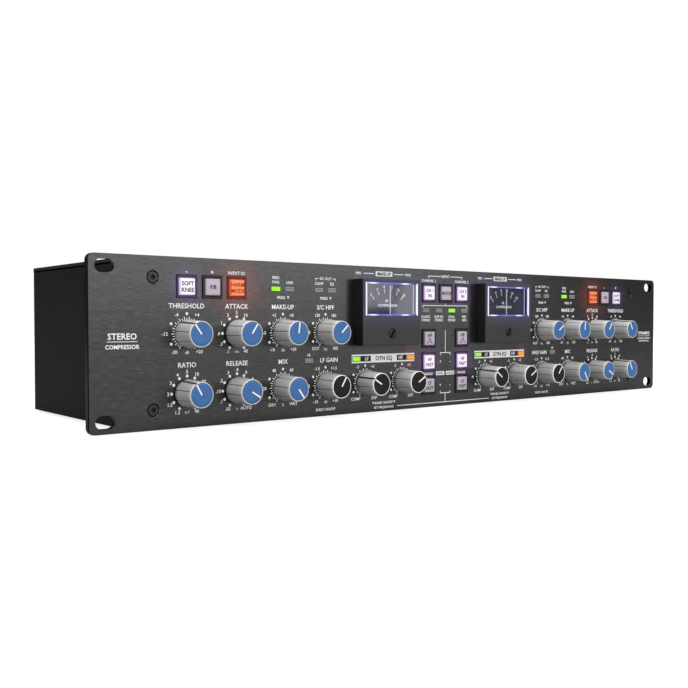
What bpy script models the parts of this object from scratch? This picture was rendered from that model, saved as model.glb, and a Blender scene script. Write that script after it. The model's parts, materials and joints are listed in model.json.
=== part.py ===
"""Rack compressor: a two-unit, 19-inch stereo dynamics processor in a shallow steel case.

World frame: X to the right as seen from the front, Y to the back, Z up, in metres. Sizes below are in
millimetres. Depths are counted from the panel's front face, towards the back, unless they say otherwise.
"""

import math

import bmesh
import bpy
from mathutils import Matrix

MM = 0.001
GAP = 0.3
# A panel cut starts in front of the panel and ends behind it
PANEL_CUT = (-1.0, 4.0)
REAR_CUT = (130.0, 136.0)

# Frame and case
PANEL_WIDTH = 482.6
PANEL_HEIGHT = 88.1
PANEL_THICK = 3.0
PANEL_CORNER = 3.5
PANEL_Y = -60.0
SLOT_X = 232.55
SLOT_RISE = 38.1
SLOT_SIZE = (10.2, 6.7)
CASE_WIDTH = 440.0
CASE_DEPTH = 134.0
CASE_FOOT = 1.0
CASE_TOP = 87.3
COVER_THICK = 2.0
SHEET = 1.5
FLANGE_WIDTH = 20.0
PANEL_SCREWS = [(side * 207.0, height) for side in (-1, 1) for height in (10.3, 77.3)]
SCREW_HOLE = 2.1
SCREW_HEAD = 3.4

# Knobs
KNOB_HEIGHT = 15.5
KNOB_LIFT = 1.1
KNOB_BASE = 7.45
KNOB_CROWN = 6.65
KNOB_SIDES = 20
SHAFT_RADIUS = 3.0
SHAFT_END = 11.0
TOP_ROW = 48.6
LOW_ROW = 17.9
# name, distance from the middle, height, has a push switch, pointer angle left, pointer angle right
KNOBS = [
    ("threshold", 188.0, TOP_ROW, False, -35.5, -28.0),
    ("attack", 158.0, TOP_ROW, False, 34.5, 33.0),
    ("makeup", 128.0, TOP_ROW, True, 7.0, 3.0),
    ("filter", 98.0, TOP_ROW, True, 46.5, 58.0),
    ("ratio", 188.0, LOW_ROW, False, -28.7, -28.0),
    ("release", 158.0, LOW_ROW, False, 121.7, 121.0),
    ("mix", 128.0, LOW_ROW, False, 144.3, 149.0),
    ("low_gain", 98.0, LOW_ROW, True, 31.0, 36.0),
    ("eq_outer", 68.0, LOW_ROW, True, -58.6, 58.0),
    ("eq_inner", 38.0, LOW_ROW, True, 59.0, -53.0),
]
BLACK_KNOBS = ("low_gain", "eq_outer", "eq_inner")

# Buttons: name, x, z
BUTTON_ROW = 73.0
BUTTONS = [
    ("left_outer", -188.0, BUTTON_ROW),
    ("left_middle", -173.0, BUTTON_ROW),
    ("left_inner", -158.0, BUTTON_ROW),
    ("right_inner", 158.0, BUTTON_ROW),
    ("right_middle", 173.0, BUTTON_ROW),
    ("right_outer", 188.0, BUTTON_ROW),
    ("centre_left", -15.0, BUTTON_ROW),
    ("centre_middle", 0.0, BUTTON_ROW),
    ("centre_right", 15.0, BUTTON_ROW),
    ("bell_left", -15.0, 44.0),
    ("bell_right", 15.0, 44.0),
    ("range_left", -15.0, 29.0),
    ("range_right", 15.0, 29.0),
    ("split_left", -15.0, 14.0),
    ("split_right", 15.0, 14.0),
]
BEZEL = 11.7
BEZEL_PROUD = 0.75
BEZEL_MOUTH = 11.1
CAP = 8.7
CAP_PROUD = 1.2
CAP_BACK = 3.0
STEM = 4.2
STEM_BACK = 10.2
SWITCH_BODY = 13.0
SWITCH_FLOOR = 5.5
SWITCH_WELL = 11.8

# Indicator windows: x, z
LIGHT_SIZE = (5.5, 2.4)
LIGHTS = (
    [(side * column + shift, 73.0) for side in (-1, 1) for column in (98.0, 128.0) for shift in (-4.7, 4.7)]
    + [(x, 61.9) for x in (-17.55, -5.85, 5.85, 17.55)]
    + [(side * 110.0, 32.5) for side in (-1, 1)]
    + [(side * 53.0 + shift, 32.5) for side in (-1, 1) for shift in (-21.9, 21.9)]
)

# Meters
METER_X = 53.0
METER_WIDTH = 46.2
METER_LOW = 40.5
METER_HIGH = 80.3
METER_PROUD = 7.9
METER_FACE = 0.9
METER_BACK = 22.0
METER_WELL = (42.8, 36.0)
BARREL_WIDTH = 40.0
BARREL_LOW = 43.4
BARREL_HIGH = 77.4
DIAL_PROUD = 3.4
WINDOW_WIDTH = 42.3
WINDOW_LOW = 58.25
WINDOW_HIGH = 78.35
WINDOW_THICK = 0.8
NEEDLE_PIVOT = 56.5
NEEDLE_LENGTH = 20.3
NEEDLE_TAIL = 4.5
NEEDLE_PROUD = 5.9
NEEDLE_THICK = 0.3
HUB_RADIUS = 2.6
PIN_RADIUS = 0.6

# Boards
BOARD = 1.6
BOARD_LIFT = 8.0
CONTROL_Y = 12.0
POT_SIZE = 12.0
POT_FRONT = 4.5

# Rear
REAR_PROUD = 1.5
INLET_X = -165.0
INLET_Z = 44.0
INLET_BODY = (50.0, 27.0)
INLET_FLANGE = (56.0, 33.0)
INLET_SOCKET = (24.6, 16.6)
INLET_SOCKET_X = -10.5
SOCKET_DEPTH = 14.0
ROCKER_X = 15.0
ROCKER_OPENING = (13.4, 20.4)
ROCKER_SIZE = (12.4, 18.6)
ROCKER_TILT = 7.0
SOCKETS_X = [25.0 + 34.0 * place for place in range(6)]
SOCKETS_Z = 44.0
SOCKET_PINNED = (2, 3)
BARREL_RADIUS = 11.6
SOCKET_RADIUS = 9.4
CORE_RADIUS = 7.4
SOCKET_FLANGE = (26.0, 31.0)
SOCKET_BOARD_Y = 112.0
PIN_CIRCLE = 4.4


# ---------------------------------------------------------------- modelling helpers


def collection(name):
    """A new collection under the scene."""
    group = bpy.data.collections.new(name)
    bpy.context.scene.collection.children.link(group)
    return group


def paint(name, colour, roughness, metallic=0.0):
    """A plain Principled BSDF material."""
    made = bpy.data.materials.new(name)
    made.use_nodes = True
    shader = made.node_tree.nodes["Principled BSDF"]
    shader.inputs["Base Color"].default_value = (*colour, 1.0)
    shader.inputs["Roughness"].default_value = roughness
    shader.inputs["Metallic"].default_value = metallic
    return made


def add_box(shape, low, high):
    """Adds a box between two corners, in millimetres."""
    size = [(b - a) * MM for a, b in zip(low, high)]
    centre = [(a + b) / 2 * MM for a, b in zip(low, high)]
    place = Matrix.Translation(centre) @ Matrix.Diagonal((*size, 1.0))
    bmesh.ops.create_cube(shape, size=1.0, matrix=place)


def add_column(shape, x, z, front, back, radius, back_radius=None, sides=16):
    """Adds a round column or cone along Y, between two depths."""
    length = (back - front) * MM
    place = Matrix.Translation((x * MM, (PANEL_Y + (front + back) / 2) * MM, z * MM))
    bmesh.ops.create_cone(
        shape,
        cap_ends=True,
        segments=sides,
        radius1=radius * MM,
        radius2=(radius if back_radius is None else back_radius) * MM,
        depth=length,
        matrix=place @ Matrix.Rotation(-math.pi / 2, 4, "X"),
    )


def add_post(shape, x, depth, low, high, radius, sides=20):
    """Adds an upright round post."""
    place = Matrix.Translation((x * MM, (PANEL_Y + depth) * MM, (low + high) / 2 * MM))
    bmesh.ops.create_cone(
        shape,
        cap_ends=True,
        segments=sides,
        radius1=radius * MM,
        radius2=radius * MM,
        depth=(high - low) * MM,
        matrix=place,
    )


def add_plate(shape, x, z, width, height, front, back):
    """Adds a box centred at x and z, between two depths."""
    low = (x - width / 2, PANEL_Y + front, z - height / 2)
    high = (x + width / 2, PANEL_Y + back, z + height / 2)
    add_box(shape, low, high)


def new_object(name, mesh, group, colour=None):
    """Links a mesh as an object and gives it its material."""
    made = bpy.data.objects.new(name, mesh)
    group.objects.link(made)
    if colour is not None:
        mesh.materials.clear()
        mesh.materials.append(colour)
    return made


def shaped(name, draw, group, colour=None):
    """An object whose mesh is drawn by a function that takes a bmesh."""
    shape = bmesh.new()
    draw(shape)
    mesh = bpy.data.meshes.new(name)
    shape.to_mesh(mesh)
    shape.free()
    return new_object(name, mesh, group, colour)


def combine(target, operation, name, draw):
    """Cuts, or joins, a hidden shape into the target with a Boolean modifier."""
    other = shaped(name, draw, CUTTERS)
    other.hide_render = True
    other.display_type = "WIRE"
    step = target.modifiers.new(name, "BOOLEAN")
    step.operation = operation
    step.solver = "EXACT"
    step.object = other


def bevel(target, width, angle=50.0, segments=1):
    """Rounds the target's sharp edges."""
    step = target.modifiers.new("soft_edges", "BEVEL")
    step.width = width * MM
    step.segments = segments
    step.limit_method = "ANGLE"
    step.angle_limit = math.radians(angle)


def smooth(mesh, angle=35.0):
    """Shades round faces smooth and keeps sharp corners."""
    mesh.shade_smooth()
    mesh.set_sharp_from_angle(angle=math.radians(angle))


def evaluated_mesh(source):
    """The object's mesh with its modifiers applied."""
    graph = bpy.context.evaluated_depsgraph_get()
    graph.update()
    return bpy.data.meshes.new_from_object(source.evaluated_get(graph))


def turned(name, profile, sides):
    """A mesh turned about Z from (radius, height) points that run down the outer side."""
    mesh = bpy.data.meshes.new(name)
    points = [(radius * MM, 0.0, height * MM) for radius, height in profile]
    mesh.from_pydata(points, [(i, i + 1) for i in range(len(points) - 1)], [])
    blank = new_object(name + "_profile", mesh, CUTTERS)
    screw = blank.modifiers.new("turn", "SCREW")
    screw.steps = sides
    screw.render_steps = sides
    screw.use_merge_vertices = True
    screw.merge_threshold = 0.00001
    made = evaluated_mesh(blank)
    made.name = name
    bpy.data.objects.remove(blank)
    return made


def arc(x, z, radius, start, steps, sweep=90.0):
    """Points along an arc, in degrees from +X."""
    turns = [math.radians(start + sweep * step / steps) for step in range(steps + 1)]
    return [(x + radius * math.cos(turn), z + radius * math.sin(turn)) for turn in turns]


def rounded_box(x, z, width, height, radius, steps=5):
    """Points around a rectangle with round corners."""
    reach = width / 2 - radius
    rise = height / 2 - radius
    corners = [(1, 1, 0), (-1, 1, 90), (-1, -1, 180), (1, -1, 270)]
    rings = [arc(x + sx * reach, z + sz * rise, radius, start, steps) for sx, sz, start in corners]
    return [point for ring in rings for point in ring]


def square(x, z, width, height):
    """The four corners of a rectangle."""
    half = width / 2
    rise = height / 2
    return [(x + half, z + rise), (x - half, z + rise), (x - half, z - rise), (x + half, z - rise)]


def flat_sheet(name, outlines, front, thick, group, colour):
    """An upright sheet: the first outline is its edge, the others are its holes."""
    drawing = bpy.data.curves.new(name, "CURVE")
    drawing.dimensions = "2D"
    drawing.fill_mode = "BOTH"
    drawing.extrude = thick / 2 * MM
    for outline in outlines:
        spline = drawing.splines.new("POLY")
        spline.points.add(len(outline) - 1)
        for point, (x, z) in zip(spline.points, outline):
            point.co = (x * MM, z * MM, 0.0, 1.0)
        spline.use_cyclic_u = True
    guide = new_object(name + "_outline", drawing, CUTTERS)
    guide.rotation_euler = (math.pi / 2, 0.0, 0.0)
    guide.location = (0.0, (PANEL_Y + front + thick / 2) * MM, 0.0)
    mesh = evaluated_mesh(guide)
    mesh.name = name
    shape = bmesh.new()
    shape.from_mesh(mesh)
    bmesh.ops.remove_doubles(shape, verts=shape.verts, dist=0.00001)
    bmesh.ops.recalc_face_normals(shape, faces=shape.faces)
    shape.to_mesh(mesh)
    shape.free()
    made = new_object(name, mesh, group, colour)
    bpy.context.view_layer.update()
    made.matrix_world = guide.matrix_world.copy()
    bpy.data.objects.remove(guide)
    return made


# ---------------------------------------------------------------- case


def knob_places():
    """Every knob as (name, x, z, has a push switch, pointer angle)."""
    places = []
    for side, word in ((-1, "left"), (1, "right")):
        for name, reach, height, pushes, left, right in KNOBS:
            angle = left if side < 0 else right
            places.append((f"{name}_{word}", side * reach, height, pushes, angle))
    return places


def make_front_panel():
    """The rack panel, with its slots and the cut-outs for everything that comes through."""
    middle = PANEL_HEIGHT / 2
    edge = rounded_box(0.0, middle, PANEL_WIDTH, PANEL_HEIGHT, PANEL_CORNER)
    panel = flat_sheet("front_panel", [edge], 0.0, PANEL_THICK, PARTS, PAINTS["panel"])

    def cut_outs(shape):
        for side in (-1, 1):
            opening = (BARREL_WIDTH + 2 * GAP, BARREL_HIGH - BARREL_LOW + 2 * GAP)
            add_plate(shape, side * METER_X, (BARREL_LOW + BARREL_HIGH) / 2, *opening, *PANEL_CUT)
        for _, x, z, _, _ in knob_places():
            add_column(shape, x, z, *PANEL_CUT, SHAFT_RADIUS + 0.5, sides=16)
        for x, z in PANEL_SCREWS:
            add_column(shape, x, z, *PANEL_CUT, SCREW_HOLE, sides=16)
        for _, x, z in BUTTONS:
            add_plate(shape, x, z, BEZEL + 2 * GAP, BEZEL + 2 * GAP, *PANEL_CUT)
        for x, z in LIGHTS:
            add_plate(shape, x, z, LIGHT_SIZE[0] + 2 * GAP, LIGHT_SIZE[1] + 2 * GAP, *PANEL_CUT)

    straight = SLOT_SIZE[0] - SLOT_SIZE[1]
    slots = [(side * SLOT_X, middle + rise) for side in (-1, 1) for rise in (-SLOT_RISE, SLOT_RISE)]

    def slot_bars(shape):
        for x, z in slots:
            add_plate(shape, x, z, straight, SLOT_SIZE[1], *PANEL_CUT)

    def slot_ends(shape, side):
        for x, z in slots:
            add_column(shape, x + side * straight / 2, z, *PANEL_CUT, SLOT_SIZE[1] / 2, sides=20)

    def countersinks(shape):
        for x, z in PANEL_SCREWS:
            add_column(shape, x, z, -0.05, 1.9, SCREW_HEAD + 0.15, SCREW_HOLE - 0.15)

    combine(panel, "DIFFERENCE", "cut_outs", cut_outs)
    combine(panel, "DIFFERENCE", "slot_bars", slot_bars)
    combine(panel, "DIFFERENCE", "slot_left_ends", lambda shape: slot_ends(shape, -1))
    combine(panel, "DIFFERENCE", "slot_right_ends", lambda shape: slot_ends(shape, 1))
    combine(panel, "DIFFERENCE", "countersinks", countersinks)


def make_tray():
    """The folded steel tray: floor, two sides, rear wall and two front flanges."""
    half = CASE_WIDTH / 2
    wall_top = CASE_TOP - COVER_THICK - 0.2
    front = PANEL_THICK + GAP

    def floor(shape):
        low = (-half, PANEL_Y + front, CASE_FOOT)
        add_box(shape, low, (half, PANEL_Y + CASE_DEPTH, CASE_FOOT + SHEET))

    def walls(shape):
        for side in (-1, 1):
            edges = sorted((side * half, side * (half - SHEET)))
            low = (edges[0], PANEL_Y + front, CASE_FOOT)
            add_box(shape, low, (edges[1], PANEL_Y + CASE_DEPTH, wall_top))

    def rear(shape):
        low = (-half, PANEL_Y + CASE_DEPTH - SHEET, CASE_FOOT)
        add_box(shape, low, (half, PANEL_Y + CASE_DEPTH, wall_top))

    def flanges(shape):
        for side in (-1, 1):
            edges = sorted((side * half, side * (half - FLANGE_WIDTH)))
            low = (edges[0], PANEL_Y + front, CASE_FOOT)
            add_box(shape, low, (edges[1], PANEL_Y + front + SHEET, wall_top))

    def openings(shape):
        add_plate(shape, INLET_X, INLET_Z, INLET_BODY[0] + 2 * GAP, INLET_BODY[1] + 2 * GAP, *REAR_CUT)
        for x in SOCKETS_X:
            add_column(shape, x, SOCKETS_Z, *REAR_CUT, BARREL_RADIUS + GAP, sides=24)
        for x, z in PANEL_SCREWS:
            add_column(shape, x, z, 2.0, 7.0, SCREW_HOLE - 0.3, sides=16)

    tray = shaped("chassis_tray", floor, PARTS, PAINTS["case"])
    combine(tray, "UNION", "tray_walls", walls)
    combine(tray, "UNION", "tray_rear", rear)
    combine(tray, "UNION", "tray_flanges", flanges)
    combine(tray, "DIFFERENCE", "tray_openings", openings)


def make_cover():
    """The flat lid on top of the tray."""
    half = CASE_WIDTH / 2

    def lid(shape):
        low = (-half, PANEL_Y + PANEL_THICK + GAP, CASE_TOP - COVER_THICK)
        add_box(shape, low, (half, PANEL_Y + CASE_DEPTH, CASE_TOP))

    cover = shaped("top_cover", lid, PARTS, PAINTS["case"])
    bevel(cover, 0.4)


# ---------------------------------------------------------------- knobs and shafts


def knob_mesh(name, has_shaft):
    """A tapered knob with a pointer groove at +Y, drawn upright with the panel at height 0."""
    outer = [
        (0.0, KNOB_HEIGHT),
        (KNOB_CROWN - 0.35, KNOB_HEIGHT),
        (KNOB_CROWN, KNOB_HEIGHT - 0.3),
        (KNOB_BASE, KNOB_LIFT),
    ]
    if has_shaft:
        inner = [(SHAFT_RADIUS, KNOB_LIFT), (SHAFT_RADIUS, -SHAFT_END), (0.0, -SHAFT_END)]
    else:
        inner = [(SHAFT_RADIUS + GAP, KNOB_LIFT), (SHAFT_RADIUS + GAP, SHAFT_END), (0.0, SHAFT_END)]
    blank = new_object(name + "_blank", turned(name, outer + inner, KNOB_SIDES), CUTTERS)

    def side_groove(shape):
        low = (-0.4, KNOB_CROWN - 0.25, KNOB_LIFT - 1.0)
        add_box(shape, low, (0.4, KNOB_BASE + 1.0, KNOB_HEIGHT + 1.0))

    combine(blank, "DIFFERENCE", name + "_groove", side_groove)
    mesh = evaluated_mesh(blank)
    mesh.name = name
    bpy.data.objects.remove(blank)
    bpy.data.objects.remove(bpy.data.objects[name + "_groove"])
    smooth(mesh)
    return mesh


def make_knobs():
    """All the knobs, each with its origin on its axis at the panel face, and the shafts that push."""
    meshes = {}
    for pushes, kind in ((False, "plain"), (True, "push")):
        for black, cap in ((False, "blue"), (True, "black")):
            meshes[(pushes, black)] = knob_mesh(f"knob_{kind}_{cap}", not pushes)
    shaft_profile = [
        (0.0, SHAFT_END - 0.4),
        (SHAFT_RADIUS - 0.4, SHAFT_END - 0.4),
        (SHAFT_RADIUS, SHAFT_END - 0.8),
        (SHAFT_RADIUS, -SHAFT_END + 0.1),
        (0.0, -SHAFT_END + 0.1),
    ]
    shaft_mesh = turned("push_shaft", shaft_profile, 14)
    smooth(shaft_mesh)
    for name, x, z, pushes, angle in knob_places():
        black = name.rsplit("_", 1)[0] in BLACK_KNOBS
        colour = PAINTS["knob_black" if black else "knob_blue"]
        knob = new_object("knob_" + name, meshes[(pushes, black)], PARTS, colour)
        knob.location = (x * MM, PANEL_Y * MM, z * MM)
        knob.rotation_euler = (math.pi / 2, math.radians(angle), 0.0)
        if pushes:
            shaft = new_object("shaft_" + name, shaft_mesh, PARTS, PAINTS["steel"])
            shaft.location = (x * MM, PANEL_Y * MM, z * MM)
            shaft.rotation_euler = (math.pi / 2, 0.0, 0.0)


# ---------------------------------------------------------------- buttons


def make_buttons():
    """Square push buttons, each a cap with a stem behind it and its origin in the panel face."""

    def cap(shape):
        half = CAP / 2
        add_box(shape, (-half, -CAP_PROUD, -half), (half, CAP_BACK, half))

    def stem(shape):
        half = STEM / 2
        add_box(shape, (-half, CAP_BACK - 0.5, -half), (half, STEM_BACK, half))

    blank = shaped("button", cap, CUTTERS)
    bevel(blank, 0.35)
    combine(blank, "UNION", "button_stem", stem)
    mesh = evaluated_mesh(blank)
    mesh.name = "button"
    smooth(mesh, 40.0)
    bpy.data.objects.remove(blank)
    bpy.data.objects.remove(bpy.data.objects["button_stem"])
    for name, x, z in BUTTONS:
        button = new_object("button_" + name, mesh, PARTS, PAINTS["button"])
        button.location = (x * MM, PANEL_Y * MM, z * MM)


# ---------------------------------------------------------------- boards behind the panel


def make_control_board():
    """The board behind the panel, with the rotary controls, switch bodies and light pipes on it."""
    middle = PANEL_HEIGHT / 2
    barrel_middle = (BARREL_LOW + BARREL_HIGH) / 2
    barrel_height = BARREL_HIGH - BARREL_LOW
    outlines = [rounded_box(0.0, middle, 424.0, 78.0, 2.0)]
    for side in (-1, 1):
        outlines.append(square(side * METER_X, barrel_middle, BARREL_WIDTH + 2.0, barrel_height + 2.0))
    board = flat_sheet("control_board", outlines, CONTROL_Y, BOARD, PARTS, PAINTS["board"])

    def fittings(shape):
        for _, x, z, _, _ in knob_places():
            add_plate(shape, x, z, POT_SIZE, POT_SIZE, POT_FRONT, CONTROL_Y + 0.5)
        for x, z in LIGHTS:
            add_plate(shape, x, z, *LIGHT_SIZE, -0.2, CONTROL_Y + 0.5)

    def switch_bodies(shape):
        for _, x, z in BUTTONS:
            add_plate(shape, x, z, SWITCH_BODY, SWITCH_BODY, POT_FRONT, CONTROL_Y + 0.5)

    def bezels(shape):
        for _, x, z in BUTTONS:
            add_plate(shape, x, z, BEZEL, BEZEL, -BEZEL_PROUD, POT_FRONT + 0.5)

    def wells(shape):
        for _, x, z, _, _ in knob_places():
            add_column(shape, x, z, POT_FRONT - 1.0, SWITCH_WELL, SHAFT_RADIUS + GAP, sides=14)
        for _, x, z in BUTTONS:
            add_plate(shape, x, z, CAP + 2 * GAP, CAP + 2 * GAP, -1.5, SWITCH_FLOOR)

    def stem_wells(shape):
        for _, x, z in BUTTONS:
            add_plate(shape, x, z, STEM + 2 * GAP, STEM + 2 * GAP, SWITCH_FLOOR - 0.5, SWITCH_WELL)

    def mouths(shape):
        for _, x, z in BUTTONS:
            outer = BEZEL_MOUTH * math.sqrt(0.5)
            inner = (CAP + 2 * GAP) * math.sqrt(0.5)
            turn = Matrix.Rotation(math.pi / 4, 4, "Y")
            place = Matrix.Translation((x * MM, (PANEL_Y - BEZEL_PROUD + 0.5) * MM, z * MM)) @ turn
            bmesh.ops.create_cone(
                shape,
                cap_ends=True,
                segments=4,
                radius1=outer * MM,
                radius2=(2 * inner - outer) * MM,
                depth=2.0 * MM,
                matrix=place @ Matrix.Rotation(-math.pi / 2, 4, "X"),
            )

    combine(board, "UNION", "board_fittings", fittings)
    combine(board, "UNION", "board_switches", switch_bodies)
    combine(board, "UNION", "board_bezels", bezels)
    combine(board, "DIFFERENCE", "board_wells", wells)
    combine(board, "DIFFERENCE", "board_stem_wells", stem_wells)
    combine(board, "DIFFERENCE", "board_mouths", mouths)


def make_main_board():
    """The audio board on the case floor: chips, capacitors, relays and standoffs."""
    left, right = -58.0, 212.0
    front, back = 24.0, 108.0
    low = BOARD_LIFT

    def sheet(shape):
        add_box(shape, (left, PANEL_Y + front, low), (right, PANEL_Y + back, low + BOARD))

    def standoffs(shape):
        for x in (left + 6.0, (left + right) / 2, right - 6.0):
            for depth in (front + 6.0, back - 6.0):
                add_post(shape, x, depth, CASE_FOOT + SHEET + GAP, low + 0.5, 3.0, 12)

    def components(shape):
        top = low + BOARD
        for column in range(8):
            x = left + 24.0 + 30.0 * column
            for row in range(3):
                depth = front + 18.0 + 24.0 * row
                box_low = (x - 5.0, PANEL_Y + depth - 3.5, top - 0.5)
                add_box(shape, box_low, (x + 5.0, PANEL_Y + depth + 3.5, top + 3.0))
                add_post(shape, x + 14.0, depth, top - 0.5, top + 11.0, 4.0, 10)

    board = shaped("main_board", sheet, PARTS, PAINTS["board"])
    combine(board, "UNION", "main_standoffs", standoffs)
    combine(board, "UNION", "main_components", components)


def make_power_module():
    """The power supply board with its transformer, heat sink and reservoir capacitors."""
    left, right = -212.0, -72.0
    front, back = 24.0, 104.0
    low = BOARD_LIFT
    top_of_core = low + BOARD + 35.5

    def sheet(shape):
        add_box(shape, (left, PANEL_Y + front, low), (right, PANEL_Y + back, low + BOARD))

    def fittings(shape):
        top = low + BOARD - 0.5
        for x in (left + 6.0, right - 6.0):
            for depth in (front + 6.0, back - 6.0):
                add_post(shape, x, depth, CASE_FOOT + SHEET + GAP, low + 0.5, 3.0, 12)
        add_box(shape, (-196.0, PANEL_Y + 42.0, top), (-150.0, PANEL_Y + 82.0, top + 36.0))
        add_box(shape, (-140.0, PANEL_Y + 60.0, top), (-134.0, PANEL_Y + 98.0, top + 30.0))
        for place in range(3):
            add_post(shape, -120.0 + 20.0 * place, 50.0, top, top + 32.0, 8.0, 20)
            add_post(shape, -120.0 + 20.0 * place, 80.0, top, top + 24.0, 6.0, 20)

    def windings(shape):
        place = Matrix.Translation((-173.0 * MM, (PANEL_Y + 62.0) * MM, (top_of_core - 18.0) * MM))
        bmesh.ops.create_cone(
            shape,
            cap_ends=True,
            segments=20,
            radius1=15.0 * MM,
            radius2=15.0 * MM,
            depth=56.0 * MM,
            matrix=place @ Matrix.Rotation(math.pi / 2, 4, "X"),
        )

    supply = shaped("power_module", sheet, PARTS, PAINTS["board"])
    combine(supply, "UNION", "power_fittings", fittings)
    combine(supply, "UNION", "power_windings", windings)


# ---------------------------------------------------------------- meters


def make_meter(side, word):
    """One moving-coil meter: housing, clear window and needle."""
    x = side * METER_X
    middle = (METER_LOW + METER_HIGH) / 2
    window_middle = (WINDOW_LOW + WINDOW_HIGH) / 2

    def front_box(shape):
        add_plate(shape, x, middle, METER_WIDTH, METER_HIGH - METER_LOW, -METER_PROUD, -0.2)

    def barrel(shape):
        height = BARREL_HIGH - BARREL_LOW
        add_plate(shape, x, (BARREL_LOW + BARREL_HIGH) / 2, BARREL_WIDTH, height, -1.0, METER_BACK)

    def well(shape):
        add_plate(shape, x, 60.5, *METER_WELL, METER_FACE - METER_PROUD, -DIAL_PROUD)

    def window(shape):
        size = (WINDOW_WIDTH, WINDOW_HIGH - WINDOW_LOW)
        add_plate(shape, x, window_middle, *size, -METER_PROUD - 1.0, METER_FACE - METER_PROUD + 0.4)

    def pivot(shape):
        add_column(shape, x, NEEDLE_PIVOT, -DIAL_PROUD - 0.5, -0.4, PIN_RADIUS + GAP, sides=12)

    housing = shaped("meter_housing_" + word, front_box, PARTS, PAINTS["meter"])
    bevel(housing, 0.5, segments=2)
    combine(housing, "UNION", f"barrel_{word}", barrel)
    combine(housing, "DIFFERENCE", f"well_{word}", well)
    combine(housing, "DIFFERENCE", f"window_cut_{word}", window)
    combine(housing, "DIFFERENCE", f"pivot_{word}", pivot)

    def pane(shape):
        size = (WINDOW_WIDTH - 0.3, WINDOW_HIGH - WINDOW_LOW - 0.3)
        add_plate(shape, x, window_middle, *size, -METER_PROUD, WINDOW_THICK - METER_PROUD)

    shaped("meter_window_" + word, pane, PARTS, PAINTS["window"])

    def pointer(shape):
        low = (-0.3, -NEEDLE_PROUD, -NEEDLE_TAIL)
        add_box(shape, low, (0.3, -NEEDLE_PROUD + NEEDLE_THICK, NEEDLE_LENGTH))

    def column(shape, radius, front, back):
        bmesh.ops.create_cone(
            shape,
            cap_ends=True,
            segments=16,
            radius1=radius * MM,
            radius2=radius * MM,
            depth=(back - front) * MM,
            matrix=Matrix.Translation((0.0, (front + back) / 2 * MM, 0.0)) @ turn,
        )

    turn = Matrix.Rotation(-math.pi / 2, 4, "X")
    needle = shaped("meter_needle_" + word, pointer, PARTS, PAINTS["needle"])
    combine(needle, "UNION", f"hub_{word}", lambda shape: column(shape, HUB_RADIUS, -5.8, -4.3))
    combine(needle, "UNION", f"pin_{word}", lambda shape: column(shape, PIN_RADIUS, -4.5, -0.8))
    for piece in (needle, bpy.data.objects[f"hub_{word}"], bpy.data.objects[f"pin_{word}"]):
        piece.location = (x * MM, PANEL_Y * MM, NEEDLE_PIVOT * MM)


# ---------------------------------------------------------------- rear


def make_power_inlet():
    """The mains inlet and switch housing in the rear wall."""
    face = CASE_DEPTH + REAR_PROUD

    def flange(shape):
        add_plate(shape, INLET_X, INLET_Z, *INLET_FLANGE, CASE_DEPTH + 0.2, face)

    def body(shape):
        add_plate(shape, INLET_X, INLET_Z, *INLET_BODY, 108.0, CASE_DEPTH + 0.7)

    def hollows(shape):
        add_plate(shape, INLET_X + INLET_SOCKET_X, INLET_Z, *INLET_SOCKET, face - SOCKET_DEPTH, face + 1.0)
        add_plate(shape, INLET_X + ROCKER_X, INLET_Z, *ROCKER_OPENING, face - 10.0, face + 1.0)

    def blades(shape):
        for shift, rise in ((-6.5, -2.0), (0.0, 2.0), (6.5, -2.0)):
            x = INLET_X + INLET_SOCKET_X + shift
            add_plate(shape, x, INLET_Z + rise, 2.0, 4.0, face - SOCKET_DEPTH - 0.5, face - 5.5)

    inlet = shaped("power_inlet", flange, PARTS, PAINTS["plastic"])
    bevel(inlet, 0.4)
    combine(inlet, "UNION", "inlet_body", body)
    combine(inlet, "DIFFERENCE", "inlet_hollows", hollows)
    combine(inlet, "UNION", "inlet_blades", blades)


def make_power_rocker():
    """The mains rocker, tilted to its on position, with its origin on its pivot."""
    width, height = ROCKER_SIZE
    rim = height / 2
    side_view = [(-rim, 0.9), (0.0, 0.0), (rim, 0.9), (rim - 1.5, -5.0), (-rim + 1.5, -5.0)]
    mesh = bpy.data.meshes.new("power_rocker")
    shape = bmesh.new()
    corners = [shape.verts.new((-width / 2 * MM, depth * MM, z * MM)) for z, depth in side_view]
    face = shape.faces.new(corners)
    pulled = bmesh.ops.extrude_face_region(shape, geom=[face])
    moved = [item for item in pulled["geom"] if isinstance(item, bmesh.types.BMVert)]
    bmesh.ops.translate(shape, verts=moved, vec=(width * MM, 0.0, 0.0))
    bmesh.ops.recalc_face_normals(shape, faces=shape.faces)
    shape.to_mesh(mesh)
    shape.free()
    rocker = new_object("power_rocker", mesh, PARTS, PAINTS["plastic"])
    bevel(rocker, 0.3)
    rocker.location = ((INLET_X + ROCKER_X) * MM, (PANEL_Y + CASE_DEPTH - 0.6) * MM, INLET_Z * MM)
    rocker.rotation_euler = (math.radians(ROCKER_TILT), 0.0, 0.0)


def pin_circle(x):
    """The three contact places of a round audio socket."""
    turns = [math.radians(degrees) for degrees in (23.0, 157.0, 270.0)]
    return [(x + PIN_CIRCLE * math.cos(turn), SOCKETS_Z + PIN_CIRCLE * math.sin(turn)) for turn in turns]


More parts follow.
